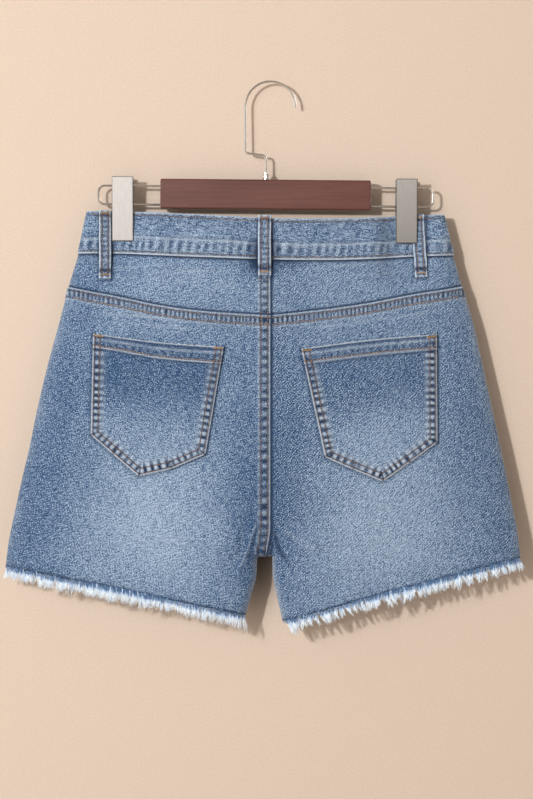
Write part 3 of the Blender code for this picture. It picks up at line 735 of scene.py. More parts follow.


# tint: above 0 pales a crease's ridge with wear, below 0 darkens it with painted shade
Crease = namedtuple("Crease", "x0 z0 x1 z1 width height tint", defaults=(0.0,))
BACK_CREASES = [
    Crease(-166, -186, -96, -184, 1.8, 0.35, 0.20), Crease(-120, -191, -40, -189, 2.0, 0.35, 0.18),
    Crease(-150, -197, -84, -199, 1.6, 0.30, 0.14), Crease(36, -187, 128, -181, 1.8, 0.35, 0.18),
    Crease(60, -196, 140, -190, 1.8, 0.30, 0.12), Crease(-170, -232, -92, -238, 2.2, 0.4, 0.22),
    Crease(-150, -242, -66, -247, 2.0, 0.3, 0.16), Crease(34, -246, 104, -240, 2.2, 0.4, 0.20),
    Crease(84, -239, 168, -230, 2.2, 0.4, 0.16), Crease(-196, -236, -150, -242, 3.0, -0.4, -0.16),
    Crease(-13, -436, -32, -491, 1.8, 1.0, 0.22),
    Crease(-9.5, -438, -27, -493, 3.4, -0.5, -0.38), Crease(-20, -430, -44, -500, 5.0, -0.9),
    Crease(2, -449, 18, -482, 4.2, -1.3, -0.85), Crease(16, -446, 44, -470, 5.0, 0.8, 0.1),
    Crease(-13.6, -461, -13.2, -478, 1.5, -0.8, -0.95),
    Crease(0.4, -458, 2.4, -476, 2.4, -0.9, -1.0),
    Crease(-9, -186, -30, -183, 8.0, -1.2, -0.25), Crease(6, -186, 34, -182, 6.0, -1.1, -0.4),
    Crease(-150, -222, -132, -300, 9.0, 0.7), Crease(140, -224, 128, -300, 9.0, 0.7),
    Crease(-168, -214, -186, -300, 8.0, -0.7), Crease(158, -214, 176, -296, 8.0, -0.7),
    Crease(-30, -518, -96, -500, 4.5, 0.6), Crease(-24, -505, -88, -486, 5.0, -0.6),
    Crease(22, -500, 96, -478, 5.0, 0.6), Crease(18, -484, 90, -462, 5.0, -0.5),
    Crease(-70, -470, -150, -462, 7.0, -0.5), Crease(60, -400, 40, -470, 8.0, 0.6),
    Crease(-205, -420, -150, -500, 9.0, 0.6), Crease(200, -380, 150, -480, 9.0, 0.6),
]
FRONT_CREASES = [
    Crease(-10, -440, -46, -498, 5.0, 1.0), Crease(2, -440, 40, -500, 5.0, 1.0),
    Crease(-24, -420, -120, -380, 7.0, -0.9), Crease(20, -420, 116, -372, 7.0, -0.9),
    Crease(-30, -396, -110, -350, 6.0, 0.8), Crease(24, -398, 104, -352, 6.0, 0.7),
    Crease(-150, -222, -120, -320, 9.0, 0.8), Crease(140, -224, 116, -316, 9.0, 0.8),
    Crease(-190, -430, -110, -500, 8.0, 0.6), Crease(180, -420, 110, -500, 8.0, -0.6),
]


def crease_relief(face, x, z):
    """Relief of the creases, and how much each pales its ridge with wear (above 0) or darkens it
    with painted shade (below 0).
    """
    relief, tint = np.zeros_like(x), np.zeros_like(x)
    for crease in BACK_CREASES if face == "back" else FRONT_CREASES:
        run = np.array([crease.x1 - crease.x0, crease.z1 - crease.z0], float)
        length = np.hypot(*run)
        along = ((x - crease.x0) * run[0] + (z - crease.z0) * run[1]) / length
        off = ((x - crease.x0) * run[1] - (z - crease.z0) * run[0]) / length
        off = off + crease.width * 0.35 * np.sin(along / length * 5.0 + crease.x0)
        taper = smooth_step(along, -0.15 * length, 0.25 * length)
        taper = taper * (1 - smooth_step(along, 0.7 * length, 1.15 * length))
        relief += crease.height * taper * np.exp(-(off / crease.width) ** 2)
        tint += crease.tint * taper * np.exp(-(off / (0.5 * crease.width)) ** 2)
    return relief, tint


BROAD_SEEDS = {"back": 30, "front": 37}


def broad_relief(face, x, z):
    """Waves of three sizes over a whole panel; the front's differ from the back's."""
    seed = BROAD_SEEDS[face]
    return (0.9 * noise_area(x, z, 70, seed) + 0.35 * noise_area(x, z, 24, seed + 1)
            + 0.10 * noise_area(x, z, 9, seed + 2))


print(len(BACK_CREASES), "creases on the back,", len(FRONT_CREASES), "on the front")

# %% [markdown]
# ## Panels
#
# The back of each leg is folded over the yoke's lower edge and sewn down with two rows of
# stitching; the left back is folded over the right one in the same way down the seat. Such a
# felled seam is a raised band with a pale worn edge, a painted shadow beside it, painted shade in
# its stitch grooves, and puckers between its rows, because the thread has drawn the cloth together.

# %% Outlines of the back pockets
Edge = namedtuple("Edge", "name left_x left_z right_x right_z")
POCKETS = {
    "left": [
        Edge("opening", -176.9, -251.3, -46.3, -264.6),
        Edge("shoulder", -179.0, -353.0, -64.6, -372.2),
        Edge("slope", -157.0, -372.0, -98.0, -386.6),
        Edge("point", -131.4, -394.1, -131.4, -394.1),
    ],
    "right": [
        Edge("opening", 30.4, -266.7, 165.9, -252.1),
        Edge("shoulder", 54.2, -375.1, 166.4, -360.5),
        Edge("slope", 82.0, -387.2, 139.5, -380.0),
        Edge("point", 112.2, -399.5, 112.2, -399.5),
    ],
}
POCKET_SAG = {"left": 2.0, "right": -1.5}    # how far the opening droops between its corners


def pocket_outline(half):
    """Corners of the outline in order, from the opening's left end round the point."""
    edges = POCKETS[half]
    left = [(edge.left_x, edge.left_z) for edge in edges]
    right = [(edge.right_x, edge.right_z) for edge in reversed(edges[:-1])]
    return np.array(left + right)


def inset_outline(half, inset):
    """The pocket's sides and point, moved in by a distance."""
    outline = pocket_outline(half)
    middle = outline.mean(axis=0)
    lines = []
    for start, end in zip(outline, outline[1:]):
        step = (end - start) / np.hypot(*(end - start))
        inward = np.array([-step[1], step[0]])
        if np.dot(middle - start, inward) < 0:
            inward = -inward
        lines.append((start + inward * inset, step))
    corners = [lines[0][0] + lines[0][1]]
    for (point, step), (after, turn) in zip(lines, lines[1:]):
        cross = step[0] * turn[1] - step[1] * turn[0]
        if abs(cross) < 1e-4:
            corners.append(after)
            continue
        gap = after - point
        corners.append(point + step * (gap[0] * turn[1] - gap[1] * turn[0]) / cross)
    corners.append(outline[-1] + (lines[-1][0] - outline[-2]) - lines[-1][1])
    return np.array(corners)


def from_line(start, end, x, z):
    """Distance from a straight line's nearest point, and that point's share of its length."""
    step = end - start
    share = ((x - start[0]) * step[0] + (z - start[1]) * step[1]) / np.dot(step, step)
    share = np.clip(share, 0, 1)
    return np.hypot(x - start[0] - share * step[0], z - start[1] - share * step[1]), share


def distance_to_outline(outline, x, z):
    """Distance from the sides and point, how far round that place is, and what lies inside."""
    best, around, run = np.full_like(x, np.inf), np.zeros_like(x), 0.0
    inside = np.ones(x.shape, bool)
    for start, end in zip(outline, np.roll(outline, -1, axis=0)):
        step = end - start
        inside &= (x - start[0]) * step[1] - (z - start[1]) * step[0] < 0
    for start, end in zip(outline, outline[1:]):
        length = np.hypot(*(end - start))
        away, share = from_line(start, end, x, z)
        around = np.where(away < best, run + share * length, around)
        best = np.minimum(best, away)
        run += length
    return best, around, inside


print("Pockets:", ", ".join(edge.name for edge in POCKETS["left"]), "from the top down")

# %% Marks of wear and sewing
FELL = 10.6                 # width of a felled seam
FELL_RISE = 0.8


def fell_band(distance, along, spacing, seed):
    """Relief, wear and shade of a felled seam: distance is measured in from its folded edge."""
    inside = smooth_step(distance, -0.4, 0.9) * (1 - smooth_step(distance, FELL - 0.2, FELL + 1.6))
    wave = pucker(along, spacing, seed)
    between = bell(distance, FELL * 0.54, FELL * 0.30)
    stitched = bell(distance, 2.9, 0.8) + bell(distance, FELL - 1.0, 0.8)
    relief = FELL_RISE * inside + 0.42 * wave * between - 0.25 * stitched
    wear = 0.68 * bell(distance, 0.6, 0.5) + 0.50 * np.maximum(0, wave) * between
    wear = wear + 0.30 * bell(distance, FELL + 1.2, 1.1) * (0.6 + 0.4 * wave)
    # painted shade in the stitch grooves and in the puckers' troughs, which are also less faded
    shade = 1.30 * np.maximum(0, -wave) * between + 0.10 * between + 0.72 * stitched
    return np.stack((relief, wear, shade))


def side_wear(laid):
    """A little rubbing down the outer edge, in broken stretches."""
    edge = np.exp(-((1 - laid.s) * 230 / 5.0))
    return 0.22 * edge * (0.6 + 0.4 * noise_line(laid.row * 40, 12, 51))


def pocket_shadow(half, x, z):
    """A painted shadow: the dark line on the panel just outside a pocket's edge."""
    away, _, inside = distance_to_outline(pocket_outline(half), x, z)
    outside = np.where(inside, 0.0, away)
    return 0.62 * bell(outside, 1.0, 1.2) * (~inside)


Shadow = namedtuple("Shadow", "left right end")
LOOP_SHADOWS = [Shadow(-171.8, -158.4, -198.3), Shadow(-13.2, 1.8, -195.6),
                Shadow(143.0, 156.8, -196.6)]


def loop_shadow(x, z):
    """Painted shadows: the dark lines along both sides of each belt loop and under it."""
    dark = np.zeros_like(x)
    for left, right, end in LOOP_SHADOWS:
        down = smooth_step(z, end - 1.6, end + 0.6)
        across = smooth_step(x, left, left + 2) * (1 - smooth_step(x, right - 1, right + 1))
        dark = dark + (0.95 * bell(x, right, 1.8) + 0.55 * bell(x, left, 1.3)) * down
        dark = dark + 0.7 * bell(z, end - 0.8, 1.1) * across
    return dark


def loop_hollow(x, drop):
    """The deep shade that gathers beside the middle loop, drop millimetres below a line."""
    return (0.80 * bell(x, -15.5, 5.5) + 0.50 * bell(x, 5.5, 4.5)) * bell(drop, 0.0, 14.0)


print("Felled seams", FELL, "mm wide")

# %% How a panel lies
BACK_WIDTH, YOKE_WIDTH = 235, 192
NEAR_ROW = 0.004            # panels start and end just clear of their rows in the table

Laid = namedtuple("Laid", "points normals s row x z below above from_seam on_seam")


def lay_panel(half, face, rows, shares):
    """A panel's net, with each point's place in the table of sections and its distances in
    millimetres below the panel's top, above its lower edge and from the centre seam."""
    points, normals = panel_net(half, face, shares, rows)
    x, z = points[..., 0], points[..., 2]
    s = np.concatenate(([0.0], shares, [1.0]))[None, :] + 0 * x
    row = rows[:, None] + 0 * x
    order = np.argsort(points[0, :, 0])
    below = np.interp(x, points[0, order, 0], points[0, order, 2]) - z
    above = z - np.interp(x, points[-1, order, 0], points[-1, order, 2])
    from_seam = np.abs(x - blend_column(half, "inner_x", np.minimum(row, ROW["crotch"])))
    on_seam = 1 - smooth_step(row, ROW["crotch"] - 0.02, ROW["crotch"] + 0.35)
    return Laid(points, normals, s, row, x, z, below, above, from_seam, on_seam)


def raised_piece(name, laid, relief, tones, half):
    """The panel's cloth piece, with its relief added along its normals."""
    outer = laid.points + laid.normals * (CLOTH + relief)[..., None]
    return cloth_piece(name, outer, laid.normals, CLOTH, tones, DENIM[half])


print("Panels are about", BACK_WIDTH, "and", YOKE_WIDTH, "mm from seam to side")

# %% Back panels
def back_panel(half):
    rows = rows_between(half, "back", ROW["yoke_seam"] + NEAR_ROW, ROW["hem"] - NEAR_ROW,
                        2.0, 0.9, 15, 5)
    laid = lay_panel(half, "back", rows, shares_across(BACK_WIDTH, 1.65, 1.0, 36))
    x, z, above_hem = laid.x, laid.z, laid.above
    below_yoke = laid.below * 0.985

    relief, tint = crease_relief("back", x, z)
    relief = relief + broad_relief("back", x, z)
    calm = 1 - 0.8 * laid.on_seam * bell(laid.from_seam, 0, 8)
    relief = relief * smooth_step(below_yoke, 6, 30) * calm
    relief = relief * smooth_step(1 - laid.s, 0.0, 0.05)
    wash = wash_and_shade_at("back", x, z)
    wear = side_wear(laid) + np.maximum(0, tint)
    # painted shade in the creases' dark folds, and a painted shadow along the pockets' edges
    shade = np.maximum(0, -tint) + pocket_shadow(half, x, z)

    marks = np.stack((relief, wear, shade)) + fell_band(below_yoke, x, 4.3, 60)
    if half == "left":
        seat = fell_band(laid.from_seam, z, 8.8, 63)
        relief, wear, shade = marks + seat * (laid.on_seam * smooth_step(below_yoke, -1, 4))
    else:
        relief, wear, shade = marks
        # painted shadow beside the seat seam, under the left back's lapped edge
        shade = shade + bell(laid.from_seam, 1.1, 1.7) * laid.on_seam
        wash = wash - 0.10 * bell(laid.from_seam, 0, 9) * laid.on_seam
    # the inseam and the raw hem
    wear = wear + 0.25 * bell(laid.s, 0, 0.012) * (1 - laid.on_seam)
    stay = 2.9 + 0.5 * noise_line(x, 5.0, 73)
    shade = shade + bell(above_hem, stay, 1.25) * (0.88 + 0.12 * noise_line(x, 3.0, 70))
    shade = shade + 0.22 * np.maximum(0, pucker(x + 0.6 * z, 9, 74)) * bell(above_hem, 7.0, 3.5)
    wear = wear + (0.15 + 0.35 * noise_line(x, 2.2, 72)) * bell(above_hem, 0, 1.0)
    relief = relief + 0.35 * bell(above_hem, 0, 3.0) * noise_line(x, 7, 71)
    relief = relief - 0.3 * bell(above_hem, 2.8, 1.0)
    return raised_piece("back_panel_" + half, laid, relief, (wash, wear, shade), half)


print("Back panels run from the yoke to the hem")

# %% Yokes
def yoke_piece(half):
    rows = rows_between(half, "back", ROW["waist_seam"] + NEAR_ROW, ROW["yoke_seam"] + 0.03,
                        1.7, 0.8, 4, 5)
    laid = lay_panel(half, "back", rows, shares_across(YOKE_WIDTH, 1.9, 0.95, 15))
    x, z = laid.x, laid.z
    relief, tint = crease_relief("back", x, z)
    relief = (relief + 0.5 * broad_relief("back", x, z)) * smooth_step(1 - laid.s, 0, 0.05)
    relief = relief * smooth_step(laid.above, 0, 12)
    wash = wash_and_shade_at("back", x, z)
    wear = side_wear(laid) + np.maximum(0, tint)
    # painted shadows just under the waistband and just above the back panel's folded edge, and
    # painted shade in creases and beside the loops
    shade = 0.95 * (bell(laid.above, 1.9, 1.3) + bell(laid.below, 0.0, 1.9))
    shade = shade + np.maximum(0, -tint) + loop_shadow(x, z) + loop_hollow(x, laid.below)
    if half == "left":
        seam = fell_band(laid.from_seam, z, 8.2, 66)
        relief, wear, shade = np.stack((relief, wear, shade)) + seam
    else:
        # painted shadow beside the seat seam, under the left yoke's lapped edge
        shade = shade + bell(laid.from_seam, 1.0, 1.7)
    return raised_piece("yoke_panel_" + half, laid, relief, (wash, wear, shade), half)


print("Yokes run from the waistband to the back panels")

# %% Front panels, and all six pieces
FLY_EDGE = (30, 36)         # where the doubled cloth of the fly thins out


def front_panel(half):
    rows = rows_between(half, "front", ROW["waist_seam"] + NEAR_ROW, ROW["hem"] - NEAR_ROW,
                        2.5, 1.1, 5, 5)
    laid = lay_panel(half, "front", rows, shares_across(BACK_WIDTH, 2.5, 1.1, 12))
    x, z, above_hem = laid.x, laid.z, laid.above
    relief = crease_relief("front", x, z)[0] + broad_relief("front", x, z)
    calm = 1 - 0.8 * laid.on_seam * bell(laid.from_seam, 0, 8)
    relief = relief * smooth_step(laid.below, 3, 25) * calm
    relief = relief * smooth_step(1 - laid.s, 0.0, 0.05)
    wash, wear = wash_and_shade_at("front", x, z), side_wear(laid)
    # painted shadow just under the waistband
    shade = 0.85 * bell(laid.below, 0.0, 1.3)
    if half == "left":
        # the folded edge of the fly above, a felled seam below it
        below_fly = smooth_step(-z, 300, 316)
        seam = fell_band(laid.from_seam, z, 8.4, 80) * (laid.on_seam * below_fly)
        relief, wear, shade = np.stack((relief, wear, shade)) + seam
        on_fly = laid.on_seam * (1 - below_fly)
        relief = relief + on_fly * 0.9 * (1 - smooth_step(laid.from_seam, *FLY_EDGE))
        wear = wear + 0.7 * bell(laid.from_seam, 0.3, 0.9) * on_fly
    else:
        # painted shadow beside the seam, under the left front's lapped edge
        shade = shade + 0.85 * bell(laid.from_seam, 0.7, 1.0) * laid.on_seam
    shade = shade + 0.9 * bell(above_hem, 2.8, 1.0)
    wear = wear + (0.45 + 0.35 * noise_line(x, 1.6, 72)) * bell(above_hem, 0, 1.6)
    wear = wear + 0.25 * bell(laid.s, 0, 0.012) * (1 - laid.on_seam)
    return raised_piece("front_panel_" + half, laid, relief, (wash, wear, shade), half)


PIECES = {}
for half in HALVES:
    for maker, node in ((back_panel, "back_"), (yoke_piece, "yoke_"), (front_panel, "front_")):
        piece = maker(half)
        PIECES[node + half] = piece
        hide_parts(node + half)
print("Panels:", ", ".join(PIECES))

# %% [markdown]
# ## Waistband
#
# One long strip, folded double, runs from the front overlap round the back to the front again.
# Its edges are rolled and rubbed pale. Above the lower stitching the two layers have twisted
# against each other, which shows as a row of dark and pale blotches that makers call roping.

# %% Waistband
OVERLAP, OVERLAP_RAMP = 22.0, 16.0
BAND_HEIGHT = 41.0
LAP_GAP = 0.3               # between the overlap and the end under it
SIDE_TURN = [0.05, 0.042, 0.035, 0.028, 0.021, 0.014, 0.008, 0.004, 0.001, 0]


def band_path(row):
    """The strip's way round the waist at one height, and which of its points lie on the back."""
    lap = BAND + LAP_GAP
    fine = np.concatenate((spaced(190, 1.8, 1.8, 0, 0) / 190 * 0.94, 1 - np.array(SIDE_TURN)))
    tab_shares = np.linspace(OVERLAP, 1.5, 12) / RIGHT_ROWS[0].side_x
    tab = form_points("right", "front", tab_shares, row)
    tab[:, 1] += lap
    left_front = form_points("left", "front", fine, row)
    left_front[:, 1] += lap * (1 - smooth_step(-left_front[:, 0], 0, OVERLAP_RAMP))
    left_back = form_points("left", "back", fine[::-1], row)
    right_back = form_points("right", "back", fine[1:], row)
    right_front = form_points("right", "front", fine[::-1], row)
    on_back = np.repeat((False, True, False),
                        (len(tab) + len(fine), 2 * len(fine) - 1, len(fine)))
    return np.concatenate((tab, left_front, left_back, right_back, right_front)), on_back


def waistband_piece():
    rows = spaced(1.0, 0.033, 0.018, 0.09, 0.12) * (ROW["waist_seam"] - 0.004)
    lines, backs = zip(*[band_path(row) for row in rows])
    points, on_back = np.stack(lines), np.stack(backs)
    normals = net_normals(points, points[..., 1])
    x, z = points[..., 0], points[..., 2]
    steps = np.linalg.norm(np.diff(points, axis=1, prepend=points[:, :1]), axis=-1)
    along = np.cumsum(steps, axis=1)
    down_mm = (rows / rows[-1] * BAND_HEIGHT)[:, None] + 0 * x
    up_mm = BAND_HEIGHT - down_mm
    relief = -0.9 * bell(down_mm, 0, 0.9) - 0.8 * bell(up_mm, 0, 0.8)
    relief = relief - 0.28 * (bell(down_mm, 3.4, 0.9) + bell(up_mm, 3.2, 0.9))
    rope = pucker(along + 0.35 * up_mm, 8.6, 90)
    roping = bell(up_mm, 9.5, 5.0)
    ripple = noise_area(along / 4.5, z + 0.06 * along, 2.9, 94) * bell(down_mm, 16, 11)
    twist = noise_area(along / 2.0 - 0.9 * z, z, 3.4, 96) * bell(down_mm, 13, 8)
    ridge = bell(up_mm + 1.5 * noise_line(along, 40, 97), 15.5, 1.0)
    relief = relief + 0.35 * rope * roping + 0.30 * noise_area(along, z, 14, 92)
    relief = relief + 0.16 * ripple + 0.12 * twist + 0.25 * ridge
    wash = wash_and_shade_at("back", x, z) + 0.05 + 0.20 * ripple + 0.13 * twist
    wash = wash + 0.18 * rope * roping + 0.08 * noise_area(along, z, 6, 95)
    wear = 0.70 * bell(down_mm, 0.3, 0.7) + 0.95 * bell(up_mm, 0.7, 0.6)
    wear = wear + 0.32 * np.maximum(0, rope) * roping + 0.40 * ridge
    # the roping's dark troughs, and painted shade in the groove above the ridge, in the stitch
    # grooves, in the puckers under the top edge and beside the loops
    shade = 0.80 * np.maximum(0, -rope) * roping + 0.45 * bell(up_mm, 17.8, 0.9) * (1 - ridge)
    shade = shade + 0.46 * (bell(down_mm, 3.5, 0.9) + bell(up_mm, 3.0, 0.7))
    shade = shade + 0.45 * bell(down_mm, 6.5, 2.6) * np.maximum(0, pucker(along, 10, 98))
    shade = shade + on_back * (0.9 * loop_hollow(x, up_mm - 8.0) + loop_shadow(x, z))
    outer = points + normals * (BAND + relief)[..., None]
    uv = np.stack((along, z), axis=-1)
    piece = cloth_piece("waistband_strip", outer, normals, BAND, (wash, wear, shade),
                        DENIM["band"], uv)
    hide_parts("waistband")
    return piece


PIECES["waistband"] = waistband_piece()
print("Waistband:", len(PIECES["waistband"].data.polygons), "faces")

# %% [markdown]
# ## Landing things on the cloth
#
# Pockets, loops and stitches lie on cloth that is already creased. A ray sent straight at the
# garment finds the surface and its normal at any place, so each later piece follows every fold.

# %% Rays on to the cloth
TREES = {}


def tree_of(*names):
    """A search tree of the outer faces of some pieces."""
    if names not in TREES:
        gathered = bmesh.new()
        for name in names:
            gathered.from_mesh(PIECES[name].data)
        TREES[names] = BVHTree.FromBMesh(gathered)
        gathered.free()
    return TREES[names]


def land(tree, face, x, z):
    """The outermost point of the cloth at (x, z) and its normal, in millimetres."""
    toward = TOWARD[face]
    start = Vector((x * MM, toward * 0.2, z * MM))
    hit, normal, _, _ = tree.ray_cast(start, Vector((0, -toward, 0)))
    if hit is None:
        return None, None
    if normal.y * toward < 0:
        normal = -normal
    return hit / MM, normal


print("Search trees ready")

# %% [markdown]
# ## Patch pockets
#
# Each pocket is a pointed patch. Its edges are folded under, so the cloth is doubled for a few
# millimetres inside the outline, and its opening has a deeper hem. Puckers ring the edge.

# %% Hems and corners of the pockets
HEM_LEFT = {"left": 12.0, "right": 13.4}     # depth of the opening's hem at its two ends
HEM_RIGHT = {"left": 15.0, "right": 13.2}
TO_SHOULDER, TO_SLOPE, TO_POINT = 103.0, 122.0, 143.0   # down a pocket's middle from its opening
PAST_EDGE = 0.0065                           # how far the grid reaches past the outline
PUCKER_SEED = {"left": 100, "right": 104}
POCKET_LIFT = 2 * CLOTH + 0.35               # doubled cloth, just clear of the panel


def hem_stitch(half, part):
    """How far below the opening its hem is stitched."""
    share = smooth_step(part, 0.12, 0.60)
    return HEM_LEFT[half] + (HEM_RIGHT[half] - HEM_LEFT[half]) * share


def pocket_place(half, part, down_z):
    """How much lower a place in the pocket lies because its opening droops."""
    return POCKET_SAG[half] * np.sin(np.pi * np.clip(part, 0, 1)) * (1 - smooth_step(down_z, 0, 45))


def mitres(half, x, z):
    """Painted shade in the short folds where two turned edges meet at a corner."""
    outline = pocket_outline(half)
    inner = inset_outline(half, 8.0)
    dark = np.zeros_like(x)
    for start, end in zip(outline[1:-1], inner[1:-1]):
        dark = np.maximum(dark, bell(from_line(start, end, x, z)[0], 0, 0.9))
    return dark


print("Opening hems are", *HEM_LEFT.values(), "mm deep at their left ends")

# %% Back pockets
def pocket_grid(half):
    """Flat places of a pocket's points, with their shares of its width, and how far each lies
    below the opening."""
    edges = POCKETS[half]
    down = np.concatenate((spaced(TO_SHOULDER, 1.25, 0.8, 2, 0),
                           TO_SHOULDER + spaced(TO_SLOPE - TO_SHOULDER, 1.1, 1.1, 0, 0)[1:],
                           TO_SLOPE + spaced(TO_POINT - TO_SLOPE, 1.0, 0.7, 0, 2)[1:]))
    marks = (0.0, TO_SHOULDER, TO_SLOPE, TO_POINT)
    left_x, left_z, right_x, right_z = (
        np.interp(down, marks, [getattr(edge, name) for edge in edges])[:, None]
        for name in ("left_x", "left_z", "right_x", "right_z"))
    part = spaced(1.0 + 2 * PAST_EDGE, 0.0098, 0.0055, 0.012, 0.012)[None, :] - PAST_EDGE
    x, z = left_x * (1 - part) + right_x * part, left_z * (1 - part) + right_z * part
    top = edges[0]
    opening = np.interp(x, [top.left_x, top.right_x], [top.left_z, top.right_z]) - z
    return x, z, part, opening


def pocket_piece(half):
    x, z, part, opening = pocket_grid(half)
    flat_z = z
    z = z - pocket_place(half, part, opening)
    _, s, row = place_on_form("back", x, z)
    base = np.stack((x, -form_depth(half, "back", s, row), z), axis=-1)
    under = broad_relief("back", x, z) + crease_relief("back", x, z)[0]
    normals = np.zeros_like(base)
    normals[..., 1] = -1.0

    away, around, inside = distance_to_outline(pocket_outline(half), x, flat_z)
    away = np.where(inside, away, -away)
    seed = PUCKER_SEED[half]
    stitch_at = hem_stitch(half, part + 0 * x)
    hem_end = stitch_at + 2.0
    hem = 1 - smooth_step(opening - hem_end, -0.4, 0.7)
    fold = 1 - smooth_step(away, 7.6, 9.2)
    wave = np.clip(1.35 * pucker(around, 7.0, seed), -1.1, 1.1)
    in_side = smooth_step(opening - hem_end, 0.5, 2.5)
    between = bell(away, 4.9, 2.5) * (0.35 + 0.65 * in_side)
    beyond = bell(away, 9.8, 2.6) * in_side
    ridge = bell(opening, 0.45 * stitch_at, 1.1) * (0.75 + 0.25 * noise_line(x, 9, seed + 2))
    blocks = pucker(x, 7.5, seed + 3) * bell(opening, 0.74 * stitch_at, 1.8)
    stitched = bell(away, 2.3, 0.7) + bell(away, 7.4, 0.7) + bell(opening, stitch_at, 0.7)
    relief = 0.5 * fold + 0.7 * hem + 0.42 * wave * (between + 0.4 * beyond) + 0.20 * blocks
    relief = relief + 0.3 * ridge - 0.22 * stitched
    relief = relief - 0.9 * bell(np.maximum(away, 0), 0, 0.8) - 0.7 * bell(opening, 0, 0.8)
    relief = relief + 0.9 * bell(opening, 0, 12) * np.sin(np.pi * np.clip(part, 0, 1)) ** 2
    relief = relief + 0.15 * noise_area(x, z, 10, 110)

    depth = np.clip(opening / 120, 0, 1)
    wash = wash_and_shade_at("back", x, z) - 0.32 * (1 - smooth_step(depth, 0.30, 0.80)) + 0.03
    light, dark = np.maximum(0, wave), np.maximum(0, -wave)
    wear = 0.85 * bell(away, 0.8, 0.45) + 0.95 * bell(opening, 0.5, 0.9) + 0.60 * light * between
    wear = wear + 0.75 * bell(opening, hem_end - 0.2, 0.7) + 0.42 * ridge
    wear = wear + 0.2 * np.maximum(0, blocks) + (0.15 + 0.24 * light) * beyond
    # painted shade in the stitch grooves, the puckers' troughs (also less faded) and the mitred
    # folds, and a painted shadow just below the hem's edge
    shade = 1.20 * dark * between + 0.60 * dark * beyond + 0.78 * stitched
    shade = shade + 0.90 * mitres(half, x, flat_z)
    shade = shade + 0.68 * bell(opening, 0.20 * stitch_at, 1.3) + 0.95 * np.maximum(0, -blocks)
    shade = shade + 0.70 * bell(opening, hem_end + 1.6, 1.1)
    # a painted shadow darkens the pocket's own rim, more round its bottom and right side, away from
    # the light
    side = POCKETS[half][0].left_z - POCKETS[half][1].left_z
    shadow_side = 0.45 + 0.5 * smooth_step(around, side - 8, side + 8)
    shade = shade + shadow_side * (1 - smooth_step(away, -0.5, 0.35))
    wear = wear * smooth_step(away, -0.5, 0.5)
    outer = base + normals * (POCKET_LIFT + under + relief)[..., None]
    piece = cloth_piece("patch_pocket_" + half, outer, normals, CLOTH, (wash, wear, shade),
                        DENIM[half])
    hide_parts("back_pocket_" + half)
    return piece


for half in HALVES:
    PIECES["back_pocket_" + half] = pocket_piece(half)
print("Pockets:", [round(PIECES["back_pocket_" + half].dimensions.x / MM) for half in HALVES],
      "mm wide")

# %% [markdown]
# ## Belt loops
#
# A loop is a folded strip tacked at the waistband's top edge and just below its seam. It arches
# slightly off the band, and its folded edges are rubbed almost white.

# %% Belt loops
Loop = namedtuple("Loop", "name face top_x top_z bottom_x bottom_z width arch")
LOOPS = [
    Loop("belt_loop_back_left", "back", -165.2, -128.4, -165.2, -196.7, 12.0, 2.2),
    Loop("belt_loop_back_centre", "back", -5.8, -133.6, -5.8, -194.0, 13.2, 2.6),
    Loop("belt_loop_back_right", "back", 147.2, -132.2, 150.8, -195.0, 12.6, 0.0),
    Loop("belt_loop_front_left", "front", -96.0, -139.0, -97.0, -202.0, 12.6, 2.4),
    Loop("belt_loop_front_right", "front", 90.0, -141.0, 91.0, -204.0, 12.6, 2.4),
]


LOOP_GAP = 0.55             # clear of the cloth under the loop's ends


